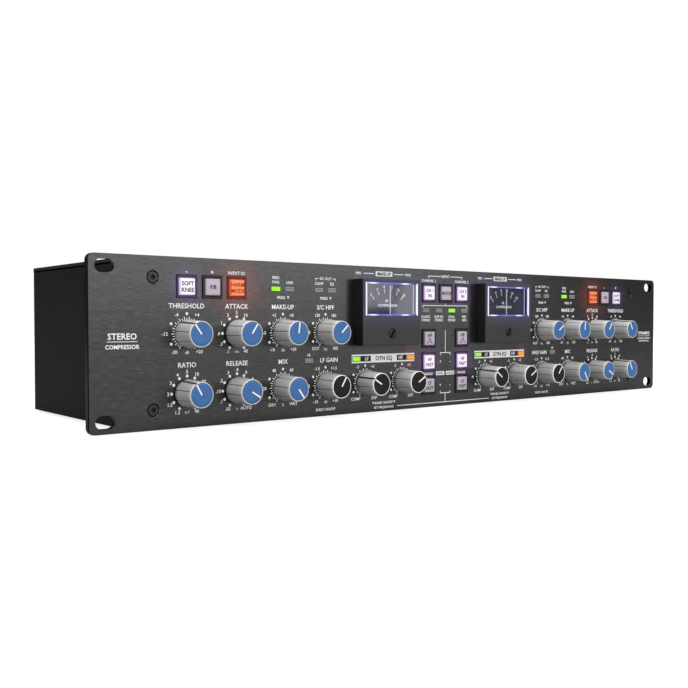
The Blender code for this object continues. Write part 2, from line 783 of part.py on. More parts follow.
def make_audio_sockets():
    """Six round audio sockets on one upright board: four with holes, two with pins."""
    face = CASE_DEPTH + REAR_PROUD
    left = SOCKETS_X[0] - 15.0
    right = SOCKETS_X[-1] + 15.0

    def sheet(shape):
        low = (left, PANEL_Y + SOCKET_BOARD_Y, SOCKETS_Z - 20.0)
        add_box(shape, low, (right, PANEL_Y + SOCKET_BOARD_Y + BOARD, SOCKETS_Z + 20.0))

    def barrels(shape):
        for x in SOCKETS_X:
            add_column(shape, x, SOCKETS_Z, SOCKET_BOARD_Y + 1.0, face - 0.5, BARREL_RADIUS, sides=24)

    def flanges(shape):
        for x in SOCKETS_X:
            add_plate(shape, x, SOCKETS_Z, *SOCKET_FLANGE, CASE_DEPTH + 0.2, face)

    def cups(shape):
        for x in SOCKETS_X:
            add_column(shape, x, SOCKETS_Z, face - SOCKET_DEPTH, face + 1.0, SOCKET_RADIUS, sides=24)

    def cores(shape):
        for place, x in enumerate(SOCKETS_X):
            if place in SOCKET_PINNED:
                for pin_x, pin_z in pin_circle(x):
                    add_column(shape, pin_x, pin_z, face - SOCKET_DEPTH - 0.5, face - 5.5, 1.2, sides=10)
            else:
                add_column(shape, x, SOCKETS_Z, face - SOCKET_DEPTH - 0.5, face - 0.6, CORE_RADIUS, sides=20)

    def contacts(shape):
        for place, x in enumerate(SOCKETS_X):
            if place not in SOCKET_PINNED:
                for pin_x, pin_z in pin_circle(x):
                    add_column(shape, pin_x, pin_z, face - 9.0, face + 1.0, 1.5, sides=10)

    board = shaped("audio_socket_board", sheet, PARTS, PAINTS["plastic"])
    combine(board, "UNION", "socket_barrels", barrels)
    combine(board, "UNION", "socket_flanges", flanges)
    combine(board, "DIFFERENCE", "socket_cups", cups)
    combine(board, "UNION", "socket_cores", cores)
    combine(board, "DIFFERENCE", "socket_contacts", contacts)


# ---------------------------------------------------------------- assembly


def clear_scene():
    """Removes whatever the scene holds."""
    for item in list(bpy.data.objects):
        bpy.data.objects.remove(item)


clear_scene()
PARTS = collection("rack_compressor")
CUTTERS = collection("cutters")
PAINTS = {
    "panel": paint("panel", (0.018, 0.018, 0.020), 0.38, 0.6),
    "case": paint("case", (0.016, 0.016, 0.017), 0.55),
    "knob_blue": paint("knob_blue", (0.058, 0.205, 0.51), 0.45),
    "knob_black": paint("knob_black", (0.02, 0.02, 0.022), 0.45),
    "steel": paint("steel", (0.5, 0.5, 0.5), 0.3, 1.0),
    "button": paint("button", (0.72, 0.68, 0.85), 0.4),
    "board": paint("board", (0.02, 0.07, 0.03), 0.5),
    "plastic": paint("plastic", (0.015, 0.015, 0.016), 0.45),
    "meter": paint("meter", (0.012, 0.012, 0.014), 0.4),
    "window": paint("window", (0.6, 0.75, 0.9), 0.05),
    "needle": paint("needle", (0.8, 0.82, 0.85), 0.4),
}
make_front_panel()
make_tray()
make_cover()
make_knobs()
make_buttons()
make_control_board()
make_main_board()
make_power_module()
make_meter(-1, "left")
make_meter(1, "right")
make_power_inlet()
make_power_rocker()
make_audio_sockets()
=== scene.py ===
import json
import math

import bmesh
import bpy
from mathutils import Matrix, Vector


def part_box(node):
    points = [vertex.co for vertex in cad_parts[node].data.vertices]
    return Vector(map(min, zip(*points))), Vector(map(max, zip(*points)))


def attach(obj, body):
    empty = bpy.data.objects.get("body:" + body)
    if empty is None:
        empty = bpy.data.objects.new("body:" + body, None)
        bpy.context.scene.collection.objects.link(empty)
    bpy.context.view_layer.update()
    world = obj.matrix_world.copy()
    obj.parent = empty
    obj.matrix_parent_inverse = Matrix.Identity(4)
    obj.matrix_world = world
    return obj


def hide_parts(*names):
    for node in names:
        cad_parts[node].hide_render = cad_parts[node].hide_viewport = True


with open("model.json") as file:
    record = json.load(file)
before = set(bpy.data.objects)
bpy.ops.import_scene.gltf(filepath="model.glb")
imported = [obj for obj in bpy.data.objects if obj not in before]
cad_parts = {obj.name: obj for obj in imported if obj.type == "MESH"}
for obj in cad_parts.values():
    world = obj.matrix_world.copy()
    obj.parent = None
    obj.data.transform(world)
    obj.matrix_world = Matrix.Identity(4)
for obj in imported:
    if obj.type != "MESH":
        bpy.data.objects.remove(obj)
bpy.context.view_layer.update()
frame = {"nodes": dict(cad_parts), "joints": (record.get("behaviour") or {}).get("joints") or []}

# ---------------------------------------------------------------- driving sizes, in metres

MM = 0.001
PANEL_LOW, PANEL_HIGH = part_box("front_panel")
FACE = PANEL_LOW.y
JOINTS = {joint["child"]: joint for joint in frame["joints"]}
KNOBS = [name for name in frame["nodes"] if name.startswith("knob_")]
BUTTONS = [name for name in frame["nodes"] if name.startswith("button_")]
SIDES = {"left": -1, "right": 1}
STEPPED = ("attack", "ratio", "release")
BLACK_CAPS = ("low_gain", "eq_outer", "eq_inner")
LIT_WHITE = ("left_outer", "right_outer", "centre_left", "centre_right", "range_left", "range_right")
LIT_ORANGE = ("left_inner", "right_inner")

CAMERA_PLACE = (-406.56 * MM, FACE - 402.95 * MM, 55.6 * MM)
CAMERA_YAW = 38.652
CAMERA_PITCH = -1.557
CAMERA_LENS = 45.785

DEGREE = math.pi / 180.0
TITLE_TOP = 63.0 * MM
TITLE_LOW = 32.5 * MM
STRIP_X = 53.0 * MM
SOCKETS_X = [25.0 + 34.0 * place for place in range(6)]
SOCKETS_Z = 44.0
SCREWS_X = 207.0
COVER_SCREWS_X = (-212.0, -71.0, 71.0, 212.0)
INK = 0.03 * MM
KNOB_REACH = 15.5 * MM
KNOB_LIFT = 1.1 * MM
KNOB_BASE = 7.45 * MM
KNOB_CROWN = 6.65 * MM
CAP_RADIUS = 6.25 * MM


def middle(node):
    """The centre of a node's box."""
    low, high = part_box(node)
    return (low + high) / 2


def grey(value):
    return (value,) * 3


def times(colour, factor):
    """A colour made darker or lighter."""
    return tuple(part * factor for part in colour)


# ---------------------------------------------------------------- node helpers


def working(operation):
    """A method that puts its signals through one kind of maths node."""
    return lambda signal, *others: signal.math(operation, *others)


class Signal:
    """One output of a node, which Python's operators work on."""

    def __init__(self, sheet, socket):
        self.sheet = sheet
        self.socket = socket

    def math(self, operation, *others):
        inputs = dict(enumerate((self, *others)))
        return self.sheet.add("ShaderNodeMath", {"operation": operation}, inputs)

    def __rsub__(self, other):
        return self.sheet.add("ShaderNodeMath", {"operation": "SUBTRACT"}, {0: other, 1: self})

    __add__ = __radd__ = working("ADD")
    __sub__ = working("SUBTRACT")
    __mul__ = __rmul__ = working("MULTIPLY")
    __truediv__ = working("DIVIDE")
    __pow__ = working("POWER")
    __abs__ = working("ABSOLUTE")
    larger = working("MAXIMUM")
    smaller = working("MINIMUM")

    def rise(self, low, high):
        """0 at low, 1 at high, smooth between."""
        settings = {"interpolation_type": "SMOOTHSTEP"}
        inputs = {"Value": self, "From Min": low, "From Max": high}
        return self.sheet.add("ShaderNodeMapRange", settings, inputs)


class Sheet:
    """A node tree that grows by one call for each node."""

    def __init__(self, tree):
        self.tree = tree

    def add(self, kind, settings=None, inputs=None, out=0):
        node = self.tree.nodes.new(kind)
        for key, value in (settings or {}).items():
            if key == "stops":
                self.set_stops(node.color_ramp, value)
            else:
                setattr(node, key, value)
        for key, value in (inputs or {}).items():
            self.feed(node.inputs[key], value)
        return Signal(self, node.outputs[out])

    def feed(self, socket, value):
        if isinstance(value, Signal):
            self.tree.links.new(value.socket, socket)
        else:
            socket.default_value = value

    def set_stops(self, ramp, stops):
        while len(ramp.elements) < len(stops):
            ramp.elements.new(0.5)
        for element, (place, colour) in zip(ramp.elements, stops):
            element.position = place
            element.color = (*colour, 1.0)

    def mix(self, factor, first, second):
        """A colour between two colours."""
        inputs = {0: factor, 6: as_colour(first), 7: as_colour(second)}
        return self.add("ShaderNodeMix", {"data_type": "RGBA"}, inputs, out=2)

    def scaled(self, colour, factor):
        """A colour made brighter or darker by a signal."""
        return self.add("ShaderNodeVectorMath", {"operation": "SCALE"}, {0: colour, "Scale": factor})

    def sum(self, first, second):
        """Two colours added."""
        return self.add("ShaderNodeVectorMath", {"operation": "ADD"}, {0: first, 1: second})

    def split(self, vector):
        """A vector's x, y and z."""
        node = self.tree.nodes.new("ShaderNodeSeparateXYZ")
        self.feed(node.inputs[0], vector)
        return [Signal(self, socket) for socket in node.outputs]


def as_colour(value):
    """A colour triple with its alpha, or a signal as it is."""
    return value if isinstance(value, Signal) else (*value, 1.0)


class Finish(Sheet):
    """A material on one Principled shader, whose fixed values are set on its own sockets."""

    def __init__(self, name, colour, roughness, metallic=0.0, **fixed):
        self.material = bpy.data.materials.new(name)
        self.material.use_nodes = True
        self.material.cycles.emission_sampling = "NONE"
        super().__init__(self.material.node_tree)
        self.shader = self.tree.nodes["Principled BSDF"]
        self.shader.inputs["Base Color"].default_value = (*colour, 1.0)
        self.shader.inputs["Roughness"].default_value = roughness
        self.shader.inputs["Metallic"].default_value = metallic
        for key, value in fixed.items():
            self.shader.inputs[key.replace("_", " ")].default_value = value

    def drive(self, socket, signal):
        self.tree.links.new(signal.socket, self.shader.inputs[socket])

    def place(self, scale=(1.0, 1.0, 1.0)):
        """Object coordinates, stretched."""
        coordinates = self.add("ShaderNodeTexCoord", out="Object")
        return self.add("ShaderNodeMapping", None, {"Vector": coordinates, "Scale": scale})

    def noise(self, scale, detail=3.0, vector=None, roughness=0.5):
        inputs = {"Scale": scale, "Detail": detail, "Roughness": roughness}
        inputs["Vector"] = vector or self.place()
        return self.add("ShaderNodeTexNoise", None, inputs)

    def dents(self, height, strength, distance):
        """A bump for the surface's normal."""
        inputs = {"Strength": strength, "Distance": distance, "Height": height}
        self.drive("Normal", self.add("ShaderNodeBump", None, inputs))

    def attribute(self, name):
        """A number stored on the mesh's vertices."""
        return self.add("ShaderNodeAttribute", {"attribute_name": name}, out="Fac")

    def shine(self, colour, strength=1.0):
        """Light that the surface gives by itself."""
        self.drive("Emission Color", colour)
        self.shader.inputs["Emission Strength"].default_value = strength


# ---------------------------------------------------------------- finishes


def added(signals):
    """The sum of several signals."""
    total = signals[0]
    for signal in signals[1:]:
        total = total + signal
    return total


def button_spots(names):
    """Where buttons sit on the panel, as x and z."""
    return [(middle("button_" + name).x, middle("button_" + name).z) for name in names]


def distance(x, z, centre_x, centre_z):
    return ((x - centre_x) ** 2.0 + (z - centre_z) ** 2.0) ** 0.5


def glow_around(x, z, spots, reach, power):
    """How strongly a surface is lit by small lights around the given centres."""
    return added([(1.0 - distance(x, z, *spot) / reach).larger(0.0) ** power for spot in spots])


def panel_finish():
    """Black anodised aluminium, brushed along its length, with light spilling from the lit buttons."""
    finish = Finish("brushed_black", (0.14, 0.14, 0.142), 0.3, 0.95)
    x, y, z = finish.split(finish.place())
    centre = (PANEL_LOW + PANEL_HIGH) / 2
    inside = Vector((PANEL_HIGH.x - 3.5 * MM, 0.0, centre.z - 2.8 * MM))
    beside = (abs(x) - inside.x).larger(0.0) ** 2.0 + (abs(z - centre.z) - inside.z).larger(0.0) ** 2.0
    border = (beside ** 0.5).rise(2.8 * MM, 3.0 * MM)
    front = (1.0 - y.rise(FACE + 0.1 * MM, FACE + 0.3 * MM)) * (1.0 - border)
    streaks = finish.noise(1.0, 3.0, finish.place((230.0, 100.0, 2600.0)), 0.6)
    broad = finish.noise(1.0, 2.0, finish.place((60.0, 25.0, 800.0)))
    grain = streaks * 0.8 + broad * 0.2
    shade = finish.mix(grain.rise(0.3, 0.7), (0.085, 0.085, 0.087), (0.155, 0.155, 0.158))
    finish.drive("Base Color", finish.mix(front, (0.008, 0.008, 0.009), shade))
    finish.drive("Roughness", 0.2 + grain * 0.11)
    finish.dents(streaks * front, 0.25, 0.05 * MM)
    white = button_spots(LIT_WHITE)
    orange = button_spots(LIT_ORANGE)
    orange_leds = [(side * STRIP_X + 21.9 * MM, TITLE_LOW) for side in (-1, 1)]
    violet = glow_around(x, z, white, 17.0 * MM, 2.2)
    red = glow_around(x, z, orange, 26.0 * MM, 2.0)
    red = red + glow_around(x, z, orange_leds, 11.0 * MM, 2.0) * 0.6
    blue = window_glow(x, z, 16.0 * MM)
    light = finish.sum(finish.scaled((0.10, 0.05, 0.17), violet), finish.scaled((0.19, 0.022, 0.012), red))
    light = finish.sum(light, finish.scaled((0.022, 0.022, 0.06), blue))
    finish.shine(finish.scaled(light, front))
    return finish.material


def case_finish():
    """Black powder coat with a fine pebbled surface."""
    finish = Finish("powder_coat", grey(0.014), 0.6, Specular_IOR_Level=0.25)
    pebbles = finish.noise(2600.0, 2.0)
    patches = finish.noise(18.0, 3.0)
    finish.drive("Base Color", finish.mix(patches.rise(0.3, 0.7), grey(0.007), (0.010, 0.010, 0.0105)))
    finish.drive("Roughness", 0.52 + patches * 0.16)
    finish.dents(pebbles, 0.35, 0.08 * MM)
    return finish.material


def moulded(name, colour, roughness, spread=0.12, grain=0.15, **fixed):
    """Moulded plastic: a fine grain and a little unevenness in colour and sheen."""
    finish = Finish(name, colour, roughness, **fixed)
    cloud = finish.noise(120.0, 3.0)
    light = tuple(min(1.0, part * (1.0 + spread)) for part in colour)
    finish.drive("Base Color", finish.mix(cloud.rise(0.3, 0.7), times(colour, 1.0 - spread), light))
    finish.drive("Roughness", roughness - 0.05 + cloud * 0.1)
    finish.dents(finish.noise(3500.0, 2.0), grain, 0.03 * MM)
    return finish.material


def barrel_finish():
    """Grey moulded knob bodies, with painted shade darkening their grooves."""
    finish = Finish("grey_knob", (0.5, 0.5, 0.495), 0.36)
    cloud = finish.noise(150.0, 3.0)
    groove = finish.attribute("groove")
    plain = finish.mix(cloud, (0.47, 0.47, 0.465), (0.51, 0.51, 0.505))
    # Painted shade: the groove attribute darkens the grooves to near black.
    finish.drive("Base Color", finish.mix(groove.rise(0.1, 0.9), plain, grey(0.06)))
    finish.drive("Roughness", 0.32 + cloud * 0.1)
    finish.dents(finish.noise(3500.0, 2.0), 0.08, 0.03 * MM)
    return finish.material


def board_finish():
    """The control board: black moulded bezels at the panel, green laminate behind it, with a painted glow on
    the bezels around the lit buttons.
    """
    finish = Finish("bezels_and_board", grey(0.02), 0.3)
    x, y, z = finish.split(finish.place())
    behind = y.rise(FACE + 11.8 * MM, FACE + 11.95 * MM)
    cloud = finish.noise(300.0, 3.0)
    black = finish.mix(cloud, (0.018, 0.017, 0.017), (0.028, 0.026, 0.025))
    green = finish.mix(cloud, (0.008, 0.05, 0.02), (0.012, 0.075, 0.03))
    finish.drive("Base Color", finish.mix(behind, black, green))
    finish.drive("Roughness", 0.26 + cloud * 0.14)
    # Painted glow from the lit buttons, given off by the bezels as violet and red light.
    white = button_spots(LIT_WHITE)
    orange = button_spots(LIT_ORANGE)
    violet = glow_around(x, z, white, 9.0 * MM, 0.7)
    red = glow_around(x, z, orange, 9.0 * MM, 0.7)
    light = finish.sum(finish.scaled((0.06, 0.025, 0.10), violet), finish.scaled((0.20, 0.02, 0.012), red))
    finish.shine(light)
    return finish.material


def cap_finish(name, face, rim, glow, plain):
    """A button cap: its face, the colour near its edges, and how much it shines by itself."""
    finish = Finish(name, plain, 0.3)
    across = finish.attribute("across")
    up = finish.attribute("up")
    edge = abs(across).larger(abs(up))
    cloud = finish.noise(700.0, 2.0)
    near = (edge + (cloud - 0.5) * 0.08).rise(0.8, 1.06)
    finish.drive("Base Color", finish.mix(near, plain, times(plain, 0.75)))
    if glow:
        finish.shine(finish.mix(near, face, rim), glow)
    finish.drive("Roughness", 0.25 + cloud * 0.12)
    return finish.material


def lens_finish(name, colour, glow):
    """A rectangular indicator lens with a cloudy colour, unevenly bright when it is lit."""
    finish = Finish(name, colour, 0.3)
    cloud = finish.noise(1500.0, 2.0)
    finish.drive("Base Color", finish.mix(cloud, times(colour, 0.8), colour))
    finish.drive("Roughness", 0.25 + cloud * 0.15)
    if glow:
        finish.shine(finish.mix(cloud.rise(0.2, 0.8), times(colour, 0.85), colour), glow)
    return finish.material


def ink_finish(name, colour, glow=0.0):
    """Screen-printed ink, with a painted glow that brightens it when glow is set."""
    finish = Finish(name, colour, 0.5)
    speck = finish.noise(4000.0, 2.0)
    finish.drive("Base Color", finish.mix(speck.rise(0.35, 0.5), times(colour, 0.86), colour))
    finish.drive("Roughness", 0.42 + speck * 0.16)
    # Painted glow: the ink gives off light of its own colour.
    if glow:
        finish.shader.inputs["Emission Color"].default_value = (*colour, 1.0)
        finish.shader.inputs["Emission Strength"].default_value = glow
    return finish.material


def metal_finish(name, colour, roughness):
    """Turned or rolled metal with fine scratches."""
    finish = Finish(name, colour, roughness, 1.0)
    scratches = finish.noise(1.0, 3.0, finish.place((2500.0, 2500.0, 400.0)))
    finish.drive("Base Color", finish.mix(scratches, times(colour, 0.8), colour))
    finish.drive("Roughness", roughness - 0.06 + scratches * 0.14)
    return finish.material


def rim_finish():
    """Edge-lit acrylic around a meter window: white at the sides, hot spots above and below."""
    finish = Finish("edge_light", (0.1, 0.1, 0.2), 0.2)
    across = finish.attribute("across")
    side = finish.attribute("side")
    back = finish.attribute("back")
    spots = (1.0 - abs(across + 0.74) / 0.26).larger(0.0) + (1.0 - abs(across - 0.5) / 0.22).larger(0.0)
    hot = spots.rise(0.0, 0.8)
    blue = finish.mix(hot, (0.11, 0.10, 0.62), (0.80, 0.86, 1.0))
    gap = across.rise(0.72, 0.86)
    blue = finish.mix(gap, blue, (0.02, 0.02, 0.09))
    upright = finish.mix(back, (0.90, 0.92, 1.0), (0.42, 0.42, 0.88))
    finish.shine(finish.mix(side, blue, upright))
    return finish.material


def pane_finish():
    """Clear acrylic: mostly see-through, with a mirror-like sheen."""
    finish = Finish("clear_acrylic", (0.95, 0.96, 1.0), 0.05, 1.0)
    smears = finish.noise(60.0, 3.0)
    finish.drive("Roughness", 0.03 + smears * 0.05)
    facing = finish.add("ShaderNodeLayerWeight", None, {"Blend": 0.5}, out="Facing")
    finish.drive("Alpha", (0.07 + facing ** 5.0 * 0.9) * (0.85 + smears * 0.3))
    return finish.material


def window_glow(x, z, reach):
    """How strongly a surface is lit by the edge lights of the two meter windows."""
    lit = []
    for window in ("meter_window_left", "meter_window_right"):
        low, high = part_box(window)
        across = (abs(x - (low.x + high.x) / 2) - (high.x - low.x) / 2).larger(0.0)
        up = (abs(z - (low.z + high.z) / 2) - (high.z - low.z) / 2).larger(0.0)
        near = (1.0 - (across ** 2.0 + up ** 2.0) ** 0.5 / reach).larger(0.0) ** 2.0
        lit.append(near * x.rise(low.x - 2.1 * MM, low.x - 1.6 * MM))
    return added(lit)


def meter_finish():
    """Satin black plastic, with a painted blue glow beside the lit window."""
    finish = Finish("meter_black", grey(0.028), 0.42)
    x, y, z = finish.split(finish.place())
    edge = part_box("meter_housing_left")[0].y
    front = 1.0 - y.rise(edge + 0.2 * MM, edge + 0.6 * MM)
    cloud = finish.noise(120.0, 3.0)
    face = finish.mix(cloud, grey(0.040), grey(0.047))
    finish.drive("Base Color", finish.mix(front, grey(0.008), face))
    finish.drive("Roughness", 0.38 + cloud * 0.1)
    finish.dents(finish.noise(3500.0, 2.0), 0.15, 0.03 * MM)
    # Painted glow from the lit window, given off by the front face.
    light = finish.scaled((0.025, 0.023, 0.062), window_glow(x, z, 11.0 * MM) * front)
    finish.shine(light)
    return finish.material


def connector_finish():
    """Black mouldings of the rear sockets: steel screws in their flanges and gilt contacts."""
    finish = Finish("rear_mouldings", (0.016, 0.016, 0.017), 0.42)
    x, y, z = finish.split(finish.place())
    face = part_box("audio_socket_board")[1].y
    cloud = finish.noise(300.0, 3.0)
    outer = y.rise(face - 0.3 * MM, face - 0.1 * MM)
    heads = []
    slots = []
    for centre in SOCKETS_X:
        for side in (-1, 1):
            right = x - (centre + side * 9.5) * MM
            up = z - (SOCKETS_Z - side * 12.0) * MM
            away = (right ** 2.0 + up ** 2.0) ** 0.5
            heads.append(1.0 - away.rise(1.75 * MM, 1.85 * MM))
            cross = added([1.0 - abs(bar).rise(0.3 * MM, 0.36 * MM) for bar in (right + up, right - up)])
            slots.append(cross.smaller(1.0) * (1.0 - away.rise(1.1 * MM, 1.2 * MM)))
    cores = [distance(x, z, centre * MM, SOCKETS_Z * MM) for centre in SOCKETS_X[2:4]]
    gilt = added([1.0 - away.rise(7.2 * MM, 7.4 * MM) for away in cores])
    gilt = gilt * y.rise(face - 13.4 * MM, face - 13.2 * MM) * (1.0 - outer)
    # The cross slots are left black in the steel heads: painted shade in the recesses.
    steel = added(heads) * outer * (1.0 - added(slots).smaller(1.0))
    black = finish.mix(cloud, (0.014, 0.014, 0.015), (0.019, 0.019, 0.020))
    colour = finish.mix(steel, black, grey(0.42))
    finish.drive("Base Color", finish.mix(gilt, colour, (0.78, 0.58, 0.24)))
    finish.drive("Metallic", (steel + gilt).smaller(1.0))
    finish.drive("Roughness", 0.34 + cloud * 0.14)
    finish.dents(finish.noise(3500.0, 2.0), 0.15, 0.03 * MM)
    return finish.material


def dial_finish():
    """A dark blue meter card, lit from its edges."""
    finish = Finish("dial_card", (0.012, 0.012, 0.03), 0.5)
    across = finish.attribute("across")
    cloud = finish.noise(90.0, 3.0)
    edge = abs(across).rise(0.5, 1.1)
    finish.drive("Base Color", finish.mix(cloud, (0.010, 0.010, 0.024), (0.016, 0.016, 0.036)))
    finish.shine(finish.mix(edge, (0.006, 0.006, 0.016), (0.02, 0.02, 0.06)))
    return finish.material


def floor_finish():
    """Plain pale floor."""
    finish = Finish("pale_floor", grey(0.3), 0.95, Specular_IOR_Level=0.0)
    cloud = finish.noise(3.0, 2.0)
    finish.drive("Base Color", finish.mix(cloud, grey(0.29), grey(0.31)))
    x, y, z = finish.split(finish.place())
    away = (x ** 2.0 + y ** 2.0) ** 0.5
    seen = finish.add("ShaderNodeLightPath", out="Is Camera Ray")
    white = finish.mix(away.rise(0.4, 1.6), grey(0.8), (1.0, 1.0, 1.0))
    finish.shine(finish.scaled(white, seen))
    return finish.material


FINISHES = {
    "panel": panel_finish(),
    "case": case_finish(),
    "lip": moulded("folded_lip", grey(0.016), 0.5),
    "bezels": board_finish(),
    "board": moulded("green_board", (0.01, 0.06, 0.025), 0.4),
    "barrel": barrel_finish(),
    # An ink_finish's third number is a painted glow that brightens the print, the knob rims, the needle and
    # the dial.
    "rim": ink_finish("cream_rim", (0.86, 0.79, 0.70), 0.16),
    "rim_white": ink_finish("white_rim", grey(0.88), 0.34),
    "blue_cap": moulded("blue_cap", (0.058, 0.205, 0.515), 0.42, 0.06),
    "black_cap": moulded("black_cap", grey(0.012), 0.5, 0.1, Specular_IOR_Level=0.3),
    "cream_line": ink_finish("cream_ink", (0.90, 0.86, 0.78), 0.4),
    "shadow": moulded("deep_shadow", grey(0.001), 0.9, Specular_IOR_Level=0.0),
    "zero_screw": moulded("zero_screw", grey(0.02), 0.42),
    "black_line": ink_finish("black_ink", grey(0.008)),
    "legend": ink_finish("white_ink", grey(0.86), 0.32),
    "label_ink": ink_finish("label_ink", (0.03, 0.02, 0.035)),
    "red_ink": ink_finish("red_ink", (0.30, 0.02, 0.01), 0.3),
    "violet_ink": ink_finish("violet_ink", (0.05, 0.02, 0.08), 0.1),
    "cap_white": cap_finish("cap_lit_white", (0.86, 0.80, 0.88), (0.50, 0.34, 0.68), 1.0, (0.25, 0.24, 0.25)),
    "cap_orange": cap_finish(
        "cap_lit_orange", (0.90, 0.25, 0.09), (0.74, 0.06, 0.01), 1.0, (0.18, 0.06, 0.03)
    ),
    # The unlit cap is given a faint painted glow as well, dimmer near its edges.
    "cap_plain": cap_finish("cap_unlit", (0.13, 0.105, 0.13), (0.06, 0.045, 0.06), 1.0, (0.56, 0.47, 0.56)),
    "lens_off": lens_finish("lens_off", grey(0.5), 0.0),
    "lens_green": lens_finish("lens_green", (0.26, 0.86, 0.0), 0.85),
    "lens_orange": lens_finish("lens_orange", (1.0, 0.27, 0.004), 0.95),
    "meter": meter_finish(),
    "dial": dial_finish(),
    "pane": pane_finish(),
    "edge_light": rim_finish(),
    "needle": ink_finish("needle_white", (0.85, 0.86, 0.9), 0.14),
    "dial_ink": ink_finish("dial_ink", (0.78, 0.78, 0.84), 0.42),
    "screw": metal_finish("blackened_screw", grey(0.09), 0.38),
    "steel": metal_finish("bright_steel", grey(0.55), 0.3),
    "plastic": moulded("black_moulding", (0.016, 0.016, 0.017), 0.42),
    "connectors": connector_finish(),
    "pale": ink_finish("pale_print", grey(0.84), 0.3),
    "floor": floor_finish(),
}


# ---------------------------------------------------------------- mesh helpers


def linked(name, data):
    """A new object in the scene."""
    made = bpy.data.objects.new(name, data)
    bpy.context.scene.collection.objects.link(made)
    return made


def as_mesh(name, shape, finishes):
    """Turns a bmesh into a mesh with its finishes."""
    mesh = bpy.data.meshes.new(name)
    shape.to_mesh(mesh)
    shape.free()
    for finish in finishes:
        mesh.materials.append(FINISHES[finish])
    return mesh


def piece(name, shape, finishes):
    """Turns a bmesh into a linked object at the origin."""
    return linked(name, as_mesh(name, shape, finishes))


def paint(made, finish):
    """Gives newly made faces their finish, and returns them."""
    faces = {face for vert in made["verts"] for face in vert.link_faces}
    for face in faces:
        face.material_index = finish
    return faces


def block(shape, low, high, finish=0):
    """Adds a box between two corners."""
    size = [b - a for a, b in zip(low, high)]
    centre = [(a + b) / 2 for a, b in zip(low, high)]
    place = Matrix.Translation(centre) @ Matrix.Diagonal((*size, 1.0))
    made = bmesh.ops.create_cube(shape, size=1.0, matrix=place)
    paint(made, finish)
    return made["verts"]


def plate(shape, x, z, width, height, front, back, finish=0):
    """Adds an upright plate centred at x and z, between two depths behind the panel's face."""
    low = (x - width / 2, FACE + front, z - height / 2)
    return block(shape, low, (x + width / 2, FACE + back, z + height / 2), finish)


def disc(shape, x, z, radius, front, back, finish=0, sides=24):
    """Adds a round plate that faces the front."""
    place = Matrix.Translation((x, FACE + (front + back) / 2, z)) @ Matrix.Rotation(math.pi / 2, 4, "X")
    made = bmesh.ops.create_cone(
        shape, cap_ends=True, segments=sides, radius1=radius, radius2=radius, depth=back - front, matrix=place
    )
    for face in paint(made, finish):
        face.smooth = len(face.verts) == 4


def evaluated(source):
    """The object's mesh with its modifiers applied."""
    graph = bpy.context.evaluated_depsgraph_get()
    graph.update()
    return bpy.data.meshes.new_from_object(source.evaluated_get(graph))


def text_mesh(words, height, bold=0.0, spacing=1.0):
    """Flat letters centred at the origin, drawn in X and Y, with capitals of the given height."""
    drawing = bpy.data.curves.new("letters", "FONT")
    drawing.body = words
    drawing.size = height / CAPITAL
    drawing.align_x = "CENTER"
    drawing.offset = bold
    drawing.space_character = spacing
    drawing.resolution_u = 2
    drawing.fill_mode = "BOTH"
    drawing.extrude = INK / 2
    holder = linked("letters", drawing)
    mesh = evaluated(holder)
    bpy.data.objects.remove(holder)
    return mesh


CAPITAL = 1.0
CAPITAL = max(vert.co.y for vert in text_mesh("H", 1.0).vertices)


def write(shape, words, x, z, height, front=0.0, bold=0.0, spacing=1.0, finish=0):
    """Adds letters to a bmesh, standing on the panel, centred at x and z."""
    mesh = text_mesh(words, height, bold, spacing)
    lift = Matrix.Translation((x, FACE - front - INK / 2, z - height / 2))
    mesh.transform(lift @ Matrix.Rotation(math.pi / 2, 4, "X"))
    start = len(shape.faces)
    shape.from_mesh(mesh)
    shape.faces.ensure_lookup_table()
    for face in shape.faces[start:]:
        face.material_index = finish
    bpy.data.meshes.remove(mesh)


def add_numbers(shape, **measures):
    """Stores values on each vertex for a finish to read."""
    for name in measures:
        shape.verts.layers.float.new(name)
    for name, measure in measures.items():
        layer = shape.verts.layers.float[name]
        for vert in shape.verts:
            vert[layer] = measure(vert)


# ---------------------------------------------------------------- repeated marks


def start_tree(name, inputs):
    """A geometry node group with named inputs: its sheet, and a signal for each input."""
    tree = bpy.data.node_groups.new(name, "GeometryNodeTree")
    for label, kind in inputs.items():
        tree.interface.new_socket(label, in_out="INPUT", socket_type="NodeSocket" + kind)
    tree.interface.new_socket("Geometry", in_out="OUTPUT", socket_type="NodeSocketGeometry")
    sheet = Sheet(tree)
    entry = tree.nodes.new("NodeGroupInput")
    return sheet, {socket.name: Signal(sheet, socket) for socket in entry.outputs if socket.name}


def end_tree(sheet, result):
    """The group, with its result joined to its output."""
    sheet.tree.links.new(result.socket, sheet.tree.nodes.new("NodeGroupOutput").inputs[0])
    return sheet.tree


def grown(name, mesh, tree, values):
    """The plain mesh that a geometry node group makes from a mesh."""
    holder = linked(name, mesh)
    step = holder.modifiers.new(name, "NODES")
    step.node_group = tree
    for item in tree.interface.items_tree:
        if item.in_out == "INPUT" and item.name in values:
            step[item.identifier] = values[item.name]
    made = evaluated(holder)
    bpy.data.objects.remove(holder)
    return made


def points_mesh(name, places):
    """A mesh of loose points."""
    mesh = bpy.data.meshes.new(name)
    mesh.from_pydata([tuple(place) for place in places], [], [])
    return mesh


